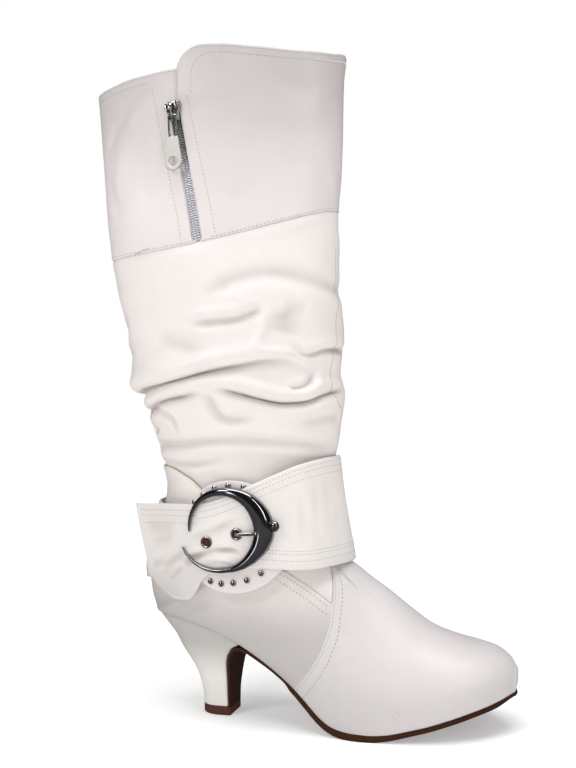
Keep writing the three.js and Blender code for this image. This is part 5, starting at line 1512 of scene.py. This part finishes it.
def make_sole():
    """The sole as one band: a flat section with crisp edges carried from the toe along the underside,
    round a small arch at the shank's end and down the heel breast. Its edge rises a little against the
    upper, and it is thinner under the arch."""
    stations = np.linspace(0, 19, 4000)
    reach = last["sole"](stations) * foot_length
    x = spaced(breast_top + 6.5, last["sole"](0.0) * foot_length, 110, lambda v: np.exp(-(((v - 125) / 25) ** 2)), 1)[::-1]
    part = foot_section(np.interp(x, reach[::-1], stations[::-1]))
    fore_top = np.stack([x, part["low_z"] - gap], 1)
    fore_half = part["half"] * part["bottom"] + 0.7 + 1.5 * np.exp(-(((x - 136) / 22) ** 2))
    nose = np.linspace(0, np.pi / 2, 9)[::-1][:-1]
    nose_top = np.stack([x[0] + 1.3 * np.sin(nose), fore_top[0, 1] + 0.5 * np.sin(nose)], 1)
    up = np.linspace(0.66, 0.0, 56)
    flap_x = mix(breast_tip, breast_top, heel["breast"](up)) - breast_flap
    flap_top = np.stack([flap_x, mix(heel_base, seat_height, up)], 1)
    flap_top[-1, 1] = 5.0
    flap_half = mix(heel_tip_width / 2, seat_half_width, heel["half"](up)) - 0.1
    t = np.linspace(0, 1, 12)[1:-1, None]
    corner = np.array([breast_top - 2.2, fore_top[-1, 1] + 2.9])
    arch = (1 - t) ** 2 * fore_top[-1] + 2 * t * (1 - t) * corner + t**2 * flap_top[0]
    arch_half = mix(fore_half[-1], flap_half[0], ease(t[:, 0], 0, 1))
    top = np.concatenate([nose_top, fore_top, arch, flap_top])
    half = np.concatenate([fore_half[0] * np.cos(nose) + 0.05, fore_half, arch_half, flap_half])
    centre = np.concatenate([np.full(8, part["centre"][0]), part["centre"], part["centre"][-1] * (1 - t[:, 0]), 0 * up])
    fore_thick = mix(2.1, sole_thickness, ease(x, 97, 103)) - 1.0 * ease(x, 222, 234)
    arch_thick = mix(fore_thick[-1], 1.9, t[:, 0])
    thick = np.concatenate([np.full(8, fore_thick[0]), fore_thick, arch_thick, np.linspace(1.9, breast_flap, 56)])
    along = unit(np.gradient(top, axis=0))
    down = np.stack([-along[:, 1], along[:, 0]], 1)
    across = np.concatenate([[-1, -0.998, -0.99, -0.975, -0.94], np.linspace(-0.85, 0.85, 15), [0.94, 0.975, 0.99, 0.998, 1]])
    y = centre[:, None] + half[:, None] * across[None]
    lip = np.zeros_like(y)
    columns_of = {key: value[:, None] for key, value in part.items()}
    rise = underside(columns_of, half[8:118, None] * across[None]) - part["low_z"][:, None]
    lip[8:118] = np.minimum(rise, 1.1)
    lip[:8] = lip[8]
    soft = edge_round((1 - np.abs(across))[None] * half[:, None], 0.5)
    upper_face = top[:, None] + lip[..., None] * (0, 1)
    lower_face = (top + down * thick[:, None])[:, None] + 0 * lip[..., None]
    middle = (upper_face + lower_face) / 2
    squeeze = (0.7 + 0.3 * soft)[..., None]
    upper_face = middle + (upper_face - middle) * squeeze
    lower_face = middle + (lower_face - middle) * squeeze
    lower_face[..., 1] = np.maximum(lower_face[..., 1], 0.0)
    under = np.stack([lower_face[..., 0], y, lower_face[..., 1]], -1)
    over = np.stack([upper_face[..., 0], y, upper_face[..., 1]], -1)
    put("sole_band", slab(under, over), sole_brown, ["outsole"], crisp=60)


def make_insole():
    """The sock: a thin plate inside the foot, its width following the flat bottom of the last."""
    station = np.linspace(0.6, 13.9, 90)[:, None]
    across = np.linspace(-1, 1, 21)[None]
    part = foot_section(station + 0 * across)
    half = np.maximum(part["half"] * part["bottom"] - 2.2, 0.5)
    rim = edge_round((1 - np.abs(across)) * half, 1.2) * edge_round(np.minimum(station - 0.6, 13.9 - station) * 12, 1.2)
    low = part["low_z"] + upper_wall + gap
    y = part["centre"] + half * across
    top = np.stack([part["low_x"], y, low + insole_thickness * (0.5 + 0.5 * rim)], -1)
    base = np.stack([part["low_x"], y, low + insole_thickness * 0.5 * (1 - rim)], -1)
    put("insole_sock", slab(top, base), lining, ["insole"])


# Strap, disc and buckle

strap_columns = columns(
    "angle top base layer",
    [
        (98, 0.46, 0.02, 0),
        (116, 0.51, -0.03, 0),
        (130, 0.55, -0.1, 0),
        (155, 0.58, -0.16, 0),
        (180, 0.59, -0.19, 0),
        (205, 0.61, -0.18, 0),
        (235, 0.69, -0.15, 0),
        (270, 0.8, -0.08, 0),
        (305, 0.91, -0.02, 0),
        (335, 0.98, 0.01, 0),
        (360, 1, 0.015, 0),
        (378, 1.0, 0.015, 0.12),
        (394, 0.985, 0.01, 0.6),
        (407, 0.955, 0, 1),
        (420, 0.89, 0.01, 1.02),
        (434, 0.8, 0.03, 1.02),
        (450, 0.69, 0.03, 1.02),
        (461, 0.63, -0.07, 1.02),
        (467, 0.61, -0.21, 1.02),
        (472, 0.6, -0.285, 1.02),
        (485, 0.6, -0.29, 1.02),
        (498, 0.6, -0.215, 1.02),
        (506, 0.6, -0.14, 1.02),
        (512, 0.605, -0.07, 1.02),
    ],
    at=0,
)
strap_leaves = 472.0
strap_end = 512.0
disc_lift = gap + strap_thickness + 2 * gap
layer_lift = disc_lift + disc_thickness + gap
strap_folds = [
    dict(line=[(474, 106), (469, 108), (463, 111.2), (456, 114.2), (448, 114.4), (440, 112)], deep=3.0, wide=1.5, soft=2.4, lip=1.1, roll=0.5, lip_wide=3.0, drop=0.9, fade=(0.2, 0.25)),
    dict(line=[(464, 107.3), (454, 108.6), (443, 107.8)], deep=-1.8, wide=3.0, fade=(0.35, 0.35)),
    dict(line=[(458, 106.8), (450, 106), (445, 104.4)], deep=0.9, wide=1.1, lip=0.3, fade=(0.3, 0.3)),
    dict(line=[(472, 119), (461, 124), (450, 130), (441, 134)], deep=1.5, wide=2.2, soft=3.2, lip=0.7, fade=(0.3, 0.3)),
    dict(line=[(496, 101), (486, 105.5), (478, 109.5), (470, 113)], deep=1.3, wide=1.9, soft=2.8, lip=0.7, fade=(0.3, 0.3)),
    dict(line=[(490, 93), (481, 98), (473, 103.5)], deep=1.0, wide=1.8, lip=0.5, fade=(0.3, 0.3)),
    dict(line=[(506, 104), (497, 105), (488, 109)], deep=0.9, wide=1.8, soft=3.0, lip=0.5, fade=(0.3, 0.3)),
    dict(line=[(500, 96), (490, 99), (482, 103)], deep=0.6, wide=1.6, lip=0.4, fade=(0.3, 0.3)),
    dict(line=[(508, 130), (495, 126), (480, 127)], deep=0.9, wide=4.0, fade=(0.3, 0.3)),
    dict(line=[(504, 116), (494, 118), (482, 121)], deep=0.8, wide=3.4, fade=(0.3, 0.3)),
    dict(line=[(404, 125), (392, 128), (378, 127)], deep=-0.6, wide=8.0, fade=(0.3, 0.3)),
    dict(line=[(410, 150), (409, 132), (411, 112)], deep=0.35, wide=2.2, fade=(0.3, 0.3)),
    dict(line=[(397, 156), (399, 132), (397, 110)], deep=0.35, wide=2.6, fade=(0.3, 0.3)),
    dict(line=[(386, 160), (388, 138), (385, 112)], deep=0.3, wide=2.6, fade=(0.3, 0.3)),
]


def strap_point(turned, z, share, lift):
    """A point on the strap: round the girdle to the place where it leaves it, and then straight on. The
    slant makes the lower edge of the free end shorter."""
    angle = np.radians(np.minimum(turned, strap_leaves))
    layer = mix(gap, layer_lift, strap_columns["layer"](turned))
    base = girdle_point(angle, z, layer + lift)
    leave = np.radians(strap_leaves) + 0 * z
    tangent = unit(girdle_point(leave + 0.01, z, layer) - girdle_point(leave, z, layer))
    along = np.clip((turned - strap_leaves) / (strap_end - strap_leaves), 0, 1)
    reach = along * (tail_length - (1 - share) * tail_slant)
    droop = np.array([0, 0, -1.0]) * (1.2 * along**2)[..., None]
    return base + tangent * reach[..., None] + droop


def strap_surface(turned, z, share, lift=0.0):
    """The strap's face with its folds, and its outward normal."""
    dent, down = fold_field(strap_folds, np.radians(turned), z)
    for eyelet_turned, eyelet_z in ((460.0, 118.6), (443.5, 124.0)):
        dent = dent * (1 - np.exp(-(((turned - eyelet_turned) * 1.15) ** 2 + (z - eyelet_z) ** 2) / 7.5**2))
    waves = 0.22 * np.sin(np.radians(turned) * 9 + z / 6) * ease(turned, 430, 470)
    lift = lift + dent + waves
    point = strap_point(turned, z, share, lift)
    side = strap_point(turned + 0.4, z, share, 0 * z) - strap_point(turned - 0.4, z, share, 0 * z)
    up = strap_point(turned, z + 0.4, share, 0 * z) - strap_point(turned, z - 0.4, share, 0 * z)
    normal = unit(np.cross(side, up))
    middle = np.array([66.0, 0.0, 0.0]) * (1, 1, 0) + point * (0, 0, 1)
    normal = np.where(((point - middle) * normal).sum(-1, keepdims=True) < 0, -normal, normal)
    # The last value, the fold's depth, becomes painted shade in the leather's creases.
    return point, normal, np.clip(-dent / 4, 0, 0.5)


def strap_level(turned, share):
    low = mix(strap_base, strap_top, strap_columns["base"](turned))
    high = mix(strap_base, strap_top, strap_columns["top"](turned))
    return mix(low, high, share), high - low


def make_strap():
    """The strap: a band with rounded edges from its sewn end once round the ankle to its free end."""
    edge = np.array([0, 0.004, 0.012, 0.026])
    share = np.concatenate([edge, np.linspace(0.045, 0.955, 48), 1 - edge[::-1]])[:, None]
    turned = np.concatenate([[98, 98.3, 99], np.linspace(100, 400, 190), np.linspace(401, 511, 150), [511.5, 511.9, 512]])[None]
    turned = turned + 0 * share
    z, height = strap_level(turned, share)
    to_edge = np.minimum(share * height, (1 - share) * height)
    ends = np.minimum(turned - 98, 512 - turned) * 1.1
    half = strap_thickness / 2 * edge_round(np.minimum(to_edge, ends), 1.1)
    front, _, crease = strap_surface(turned, z, share, strap_thickness / 2 + half)
    back, _, _ = strap_surface(turned, z, share, strap_thickness / 2 - half)
    marks = {"crease": np.stack([crease, crease])}
    put("strap_band", slab(front, back), strap_leather, ["strap"], marks=marks)


def strap_row(turned, z, pitch=2.3, thick=0.3):
    turned = np.asarray(turned, float)
    z = np.asarray(z, float)
    low, height = strap_level(turned, 0.0)
    share = np.clip((z - low) / height, 0, 1)
    point, normal, _ = strap_surface(turned, z, share, strap_thickness)
    return stitches(point, normal, pitch=pitch, thick=thick)


def make_strap_stitching():
    """Rows along both edges of the strap, and down and round its free end."""
    turned = np.linspace(100, 434, 330)
    bottom, _ = strap_level(turned, 0.0)
    rows = [strap_row(turned, bottom + inset, pitch=2.1, thick=0.21) for inset in (5.6, 9.6, 11.6)]
    turned = np.linspace(100, 468, 366)
    top, _ = strap_level(turned, 1.0)
    rows += [strap_row(turned, top - inset, pitch=2.1, thick=0.21) for inset in (2.6, 5.4, 9.4)]
    tail = np.linspace(466, 509.5, 50)
    for drop in (4.0, 7.4, 12.0):
        end = tail[tail < 510 - drop / 6]
        rows.append(strap_row(end, strap_level(end, 1.0)[0] - drop, thick=0.22))
    for inset in (3.0, 5.2, 8.2):
        low_end = np.linspace(474 + inset / 2, 509 - inset / 2, 60)
        low, _ = strap_level(low_end, 0.0)
        rows.append(strap_row(low_end, low + inset + 0.4, pitch=2.1, thick=0.2))
    put("strap_stitching", joined(rows), thread)


def make_disc():
    """The round leather disc: rings from its middle to its rounded rim, laid on the strap's base."""
    share = np.concatenate([np.linspace(0, 0.95, 24), [0.965, 0.98, 0.99, 0.997, 1]])[:, None]
    a = (np.arange(120) / 120 * turn)[None]
    x = disc_x + disc_radius * share * np.cos(a)
    z = disc_z + disc_radius * share * np.sin(a) * np.where(np.sin(a) < 0, 0.93, 1.0)
    half = disc_thickness / 2 * edge_round((1 - share) * disc_radius, 1.0) + 0 * a
    front = girdle_side(x, z, disc_lift + disc_thickness / 2 + half)
    back = girdle_side(x, z, disc_lift + disc_thickness / 2 - half)
    put("buckle_disc", slab(front, back, wrap=True), disc_leather, ["disc"])


def girdle_axes(x, z, lift):
    """A place on the outer side with the ways out, across and up."""
    seat = girdle_side(x, z, lift)
    out = unit((girdle_side(x, z, lift + 1) - seat) * (1, 1, 0))
    across = unit(np.cross(np.broadcast_to((0.0, 0.0, 1.0), out.shape), out))
    return seat, out, across


studs = [(138, 0.92), (124, 0.905), (108, 0.915), (92, 0.915), (75, 0.92), (-119, 0.83), (-105, 0.79), (-89, 0.745), (-70, 0.74), (-49, 0.76)]
stud_names = [f"stud_{row}_{number}" for row in ("top", "base") for number in range(1, 6)]


def make_studs():
    """Ten domes: a profile with a small foot and a round top, turned about the way out."""
    a, reach = np.array(studs, float).T
    x = disc_x + reach * disc_radius * np.cos(np.radians(a))
    z = disc_z + reach * disc_radius * np.sin(np.radians(a))
    seat, out, across = girdle_axes(x, z, disc_lift + disc_thickness)
    t = np.linspace(0, np.pi / 2, 9)
    radius = np.concatenate([[0, 0.9, 1.0], np.cos(t)]) * stud_radius
    height = np.concatenate([[-0.2, -0.2, 0.0], 0.12 + np.sin(t)]) * stud_height
    b = np.arange(18) / 18 * turn
    ring_across = radius[:, None] * np.cos(b)
    ring_up = radius[:, None] * np.sin(b)
    local = seat[:, None, None] + ring_across[None, ..., None] * across[:, None, None]
    local = local + ring_up[None, ..., None] * np.array([0, 0, 1.0])
    local = local + height[None, :, None, None] * out[:, None, None]
    faces = (np.arange(10)[:, None, None] * len(radius) * 18 + grid_faces(len(radius), 18, True)[None]).reshape(-1, 4)
    put("disc_studs", (local.reshape(-1, 3), faces), bright_nickel, stud_names)


metal_lift = layer_lift + strap_thickness + 0.6
crescent = columns(
    "angle middle wide rise",
    [
        (-159, 1.2, 0.05, 0.3),
        (-157, 1.19, 0.09, 0.4),
        (-140, 1.12, 0.15, 0.5),
        (-120, 1.04, 0.2, 0.56),
        (-100, 0.97, 0.25, 0.62),
        (-80, 0.93, 0.32, 0.7),
        (-60, 0.93, 0.47, 0.82),
        (-40, 0.94, 0.68, 0.93),
        (-20, 0.98, 0.9, 1),
        (0, 1, 1, 1),
        (20, 0.99, 0.97, 1),
        (40, 0.975, 0.82, 0.95),
        (60, 0.96, 0.65, 0.88),
        (80, 0.94, 0.5, 0.8),
        (100, 0.93, 0.41, 0.72),
        (120, 0.93, 0.34, 0.66),
        (140, 0.925, 0.28, 0.6),
        (160, 0.92, 0.21, 0.54),
        (181, 0.91, 0.11, 0.42),
        (183, 0.91, 0.05, 0.3),
    ],
    at=0,
)


def make_buckle():
    """The crescent: a crowned profile carried round the buckle's centre, thick at the toe side and drawn
    out to its two tips, with a knob behind the thick side."""
    turned = np.linspace(-159, 183, 190)[:, None]
    a = np.linspace(0, np.pi, 19)[None]
    side = np.concatenate([np.cos(a), np.array([[-0.7, 0, 0.7]])], 1)
    lift = np.concatenate([np.sin(a) ** 0.75, np.array([[-0.12, -0.12, -0.12]])], 1)
    radius = crescent["middle"](turned) * buckle_radius + side * crescent["wide"](turned) * buckle_width / 2
    rise = crescent["rise"](turned) * buckle_rise
    x = buckle_x + radius * np.cos(np.radians(turned))
    z = buckle_z + radius * np.sin(np.radians(turned))
    ring = girdle_side(x, z, metal_lift + lift * rise)
    knob_x = buckle_x + buckle_radius + buckle_width / 2 + 1.1
    centre = girdle_side(np.array(knob_x), np.array(buckle_z + 2.9), metal_lift + knob_radius * 0.75)
    t = np.linspace(0, np.pi, 19)[:, None]
    b = (np.arange(28) / 28 * turn)[None]
    ball = np.stack([0.9 * np.cos(t) + 0 * b, 0.8 * np.sin(t) * np.cos(b), np.sin(t) * np.sin(b)], -1) * 0.9 * knob_radius
    put("crescent_buckle", joined([closed_tube(ring), closed_tube(centre + ball)]), black_nickel, ["buckle"])


prong_tip = (buckle_x + 9.6, buckle_z - 2.0)


def make_prong():
    """The prong: a bar from the eyelet's hole, over its rim, to the crescent, where it is hooked."""
    end = buckle_x + buckle_radius - buckle_width / 2 + 2.6
    share = np.linspace(0, 1, 40)
    x = mix(prong_tip[0] - 1.6, end, share)
    z = np.full(40, prong_tip[1]) + 0.5 * share
    lift = eyelet_rise + prong_radius + gap - 1.9 * (1 - ease(share, 0, 0.16)) + 1.1 * ease(share, 0.72, 1.0)
    path = girdle_side(x, z, metal_lift + lift)
    radius = prong_radius * np.interp(share, [0, 0.06, 0.2, 0.85, 1], [0.7, 1, 1, 1.05, 1.3])
    put("buckle_prong", carried(path, radius, (0, -1.0, 0.0), sides=16), bright_nickel, ["prong"])


def make_eyelet(name, node_name, x, z):
    """A rolled ring set in the strap: its profile goes over the rim and down into the hole, where a dark disc paints
    the hole's shade.
    """
    seat, out, across = girdle_axes(np.array(x), np.array(z), metal_lift - 0.75)
    t = np.linspace(0, np.pi, 11)
    middle = (eyelet_hole + eyelet_radius) / 2
    half = (eyelet_radius - eyelet_hole) / 2
    radius = np.concatenate([[eyelet_radius], middle + half * np.cos(t), [eyelet_hole - 0.2, eyelet_hole - 0.2, 0]])
    height = np.concatenate([[-0.3], 0.45 + eyelet_rise * np.sin(t), [-0.1, -0.5, -0.5]])
    b = np.arange(36) / 36 * turn

    def turned(radii, heights):
        ring = seat + radii[:, None, None] * (across * np.cos(b)[:, None] + np.array([0, 0, 1.0]) * np.sin(b)[:, None])
        return ring + heights[:, None, None] * out

    rows = turned(radius, height)
    put(name, closed_tube(rows), bright_nickel, [node_name])
    # The cup is a dark disc of painted shade in the hole.
    cup = turned(np.array([eyelet_hole + 0.05, eyelet_hole + 0.05, 1.2, 0.0]), np.array([-0.35, 0.5, 0.42, 0.4]))
    put(name + "_hole", closed_tube(cup), hole_painted_shade)


# Seams on the leg


def make_seam_lines():
    """Fine sunk lines where panels meet: the shaft's front and back seams, and the second seam's edge."""
    rows = []
    for line in ([(6, 300), (7, 267), (11, 254), (12, 242), (14, 238)], [(15, 234), (16, 224), (18, 214), (14, 204), (-3, 194), (-6, 180)], [(-172, 290), (-172, 240)], [(-172, 232), (-172, 180)]):
        given = np.array(line, float)
        z = np.linspace(given[0, 1], given[-1, 1], 90)
        angle = np.radians(smooth_curve(given[::-1, ::-1])(z)) if given[0, 1] > given[-1, 1] else np.radians(np.interp(z, given[:, 1], given[:, 0]))
        point, normal, _ = shaft_surface(angle, z)
        rows.append(carried(raised(point, normal, np.full(90, -0.1)), 0.3, normal, sides=8))
    put("shaft_seams", joined(rows), seam_shade)
    rows = []
    for side in (-1, 1):
        line = [(x, float(second_seam(x)) + 0.45) for x in (84.0, 90.0, 97.0, 106.0, 114.0, 121.0, 128.2)]
        path, normal = foot_path(line, 0.15, side)
        rows.append(carried(path, 0.28, normal, sides=8))
    path, normal = vamp_row(-0.4, end=2.5)
    rows.append(carried(raised(path, normal, np.full(len(path), -vamp_step - 0.1)), 0.26, normal, sides=8))
    put("foot_seams", joined(rows), seam_shade)


make_foot()
make_vamp()
make_foot_stitching()
make_shaft()
make_cuff()
make_cuff_stitching()
make_zip()
make_slider()
make_pull()
make_heel()
make_sole()
make_insole()
make_strap()
make_strap_stitching()
make_disc()
make_studs()
make_buckle()
make_prong()
make_eyelet("eyelet_front_ring", "eyelet_front", prong_tip[0] - eyelet_hole / 2, prong_tip[1])
make_eyelet("eyelet_rear_ring", "eyelet_rear", buckle_x - 11.4, buckle_z - 7.4)
make_seam_lines()

# Camera, floor and light


def make_camera():
    """A camera at the photo's angle: level with the ankle's height, turned a little to the toe's side."""
    turned = np.radians(17.0)
    distance = 666.0
    tilt = np.radians(0.1)
    roll = np.radians(-1.5)
    place = np.array([95.3 + distance * np.sin(turned), -distance * np.cos(turned), 216.0])
    ahead = np.array([-np.sin(turned) * np.cos(tilt), np.cos(turned) * np.cos(tilt), -np.sin(tilt)])
    right = np.array([np.cos(turned), np.sin(turned), 0.0])
    up = np.cross(right, ahead)
    rolled_right = right * np.cos(roll) + up * np.sin(roll)
    rolled_up = -right * np.sin(roll) + up * np.cos(roll)
    data = bpy.data.cameras.new("camera")
    data.lens = 1028 / 768 * 36
    data.sensor_width = 36
    data.clip_start = 0.01
    camera = bpy.data.objects.new("camera", data)
    matrix = np.eye(4)
    matrix[:3, 0] = rolled_right
    matrix[:3, 1] = rolled_up
    matrix[:3, 2] = -ahead
    matrix[:3, 3] = (place + shift) / 1000
    camera.matrix_world = Matrix(matrix.tolist())
    bpy.context.scene.collection.objects.link(camera)
    bpy.context.scene.camera = camera


def make_floor():
    """A plain pale round floor, flat rings about the boot. Far from the boot it shines a little, as the
    lit sweep of a studio does, and so it runs into the white room without an edge. Polished metal sees
    it dark, as it does when a studio hides the floor from it with black card."""
    a = (np.arange(64) / 64 * turn)[None]
    radius = np.array([0, 0.4, 0.8, 1.2, 1.7])[:, None]
    points = np.stack([0.09 + radius * np.cos(a), radius * np.sin(a), 0 * radius * a], -1).reshape(-1, 3)
    mesh = bpy.data.meshes.new("floor")
    mesh.from_pydata(points.tolist(), [], grid_faces(5, 64, True)[:, ::-1].tolist())
    material, tree, shader = new_material("floor_white")
    place = node(tree, "ShaderNodeTexCoord").outputs["Object"]
    cloud = node(tree, "ShaderNodeTexNoise", {"Vector": place, "Scale": 3.0}).outputs[0]
    mirrored = node(tree, "ShaderNodeLightPath").outputs["Is Glossy Ray"]
    shown = math(tree, "MULTIPLY_ADD", mirrored, -floor_hidden, 1.0)
    tone = math(tree, "MULTIPLY", math(tree, "MULTIPLY_ADD", cloud, 0.01, 0.985), shown)
    tree.links.new(tinted(tree, tone, (0.9, 0.9, 0.9)), shader.inputs["Base Color"])
    away = node(tree, "ShaderNodeVectorMath", {0: place}, operation="LENGTH").outputs["Value"]
    far = node(tree, "ShaderNodeMapRange", {0: away, 1: 0.25, 2: 1.1, 3: 0.3, 4: 0.85}).outputs[0]
    far = math(tree, "MULTIPLY", far, shown)
    tree.links.new(tinted(tree, far, (1, 1, 1)), shader.inputs["Emission Color"])
    shader.inputs["Emission Strength"].default_value = floor_shine
    shader.inputs["Roughness"].default_value = 0.9
    shader.inputs["Specular IOR Level"].default_value = 0.1
    mesh.materials.append(material)
    floor = bpy.data.objects.new("floor", mesh)
    bpy.context.scene.collection.objects.link(floor)


def make_light(name, place, aim, size, watts, colour=(1, 1, 1)):
    data = bpy.data.lights.new(name, "AREA")
    data.shape = "RECTANGLE"
    data.size, data.size_y = size
    data.energy = watts
    data.color = colour
    light = bpy.data.objects.new(name, data)
    light.location = place
    light.rotation_euler = (Vector(aim) - Vector(place)).to_track_quat("-Z", "Y").to_euler()
    bpy.context.scene.collection.objects.link(light)


def make_studio():
    """Plain soft studio light: a dim room that is white behind the boot, a wide light overhead, a key
    high on the left in front, a tall strip on the right, and a low one on the left for the metal."""
    world = bpy.data.worlds.new("room")
    world.use_nodes = True
    tree = world.node_tree
    ray = node(tree, "ShaderNodeLightPath").outputs
    strength = math(tree, "MULTIPLY_ADD", ray["Is Camera Ray"], 1 - room_light, room_light)
    dimmed = math(tree, "MULTIPLY_ADD", ray["Is Glossy Ray"], -floor_hidden, 1.0)
    strength = math(tree, "MULTIPLY", strength, dimmed)
    tree.nodes["Background"].inputs[0].default_value = (1, 1, 1, 1)
    tree.links.new(strength, tree.nodes["Background"].inputs[1])
    bpy.context.scene.world = world
    make_light("overhead", (0.12, -0.2, 1.5), (0.06, 0.0, 0.1), (1.2, 0.8), watts_overhead)
    make_light("key", (-0.7, -1.05, 1.1), (0.04, 0.0, 0.22), (0.42, 0.42), watts_key)
    make_light("strip", (1.0, -0.85, 0.75), (0.06, 0.0, 0.2), (0.16, 1.1), watts_strip)
    make_light("low_strip", (-0.42, -1.15, 0.2), (0.07, 0.0, 0.13), (0.12, 0.5), watts_edge)
    settings = bpy.context.scene.view_settings
    settings.view_transform = "Standard"
    settings.look = "None"
    settings.exposure = 0.0
    settings.gamma = 1.0


make_camera()
make_floor()
make_studio()
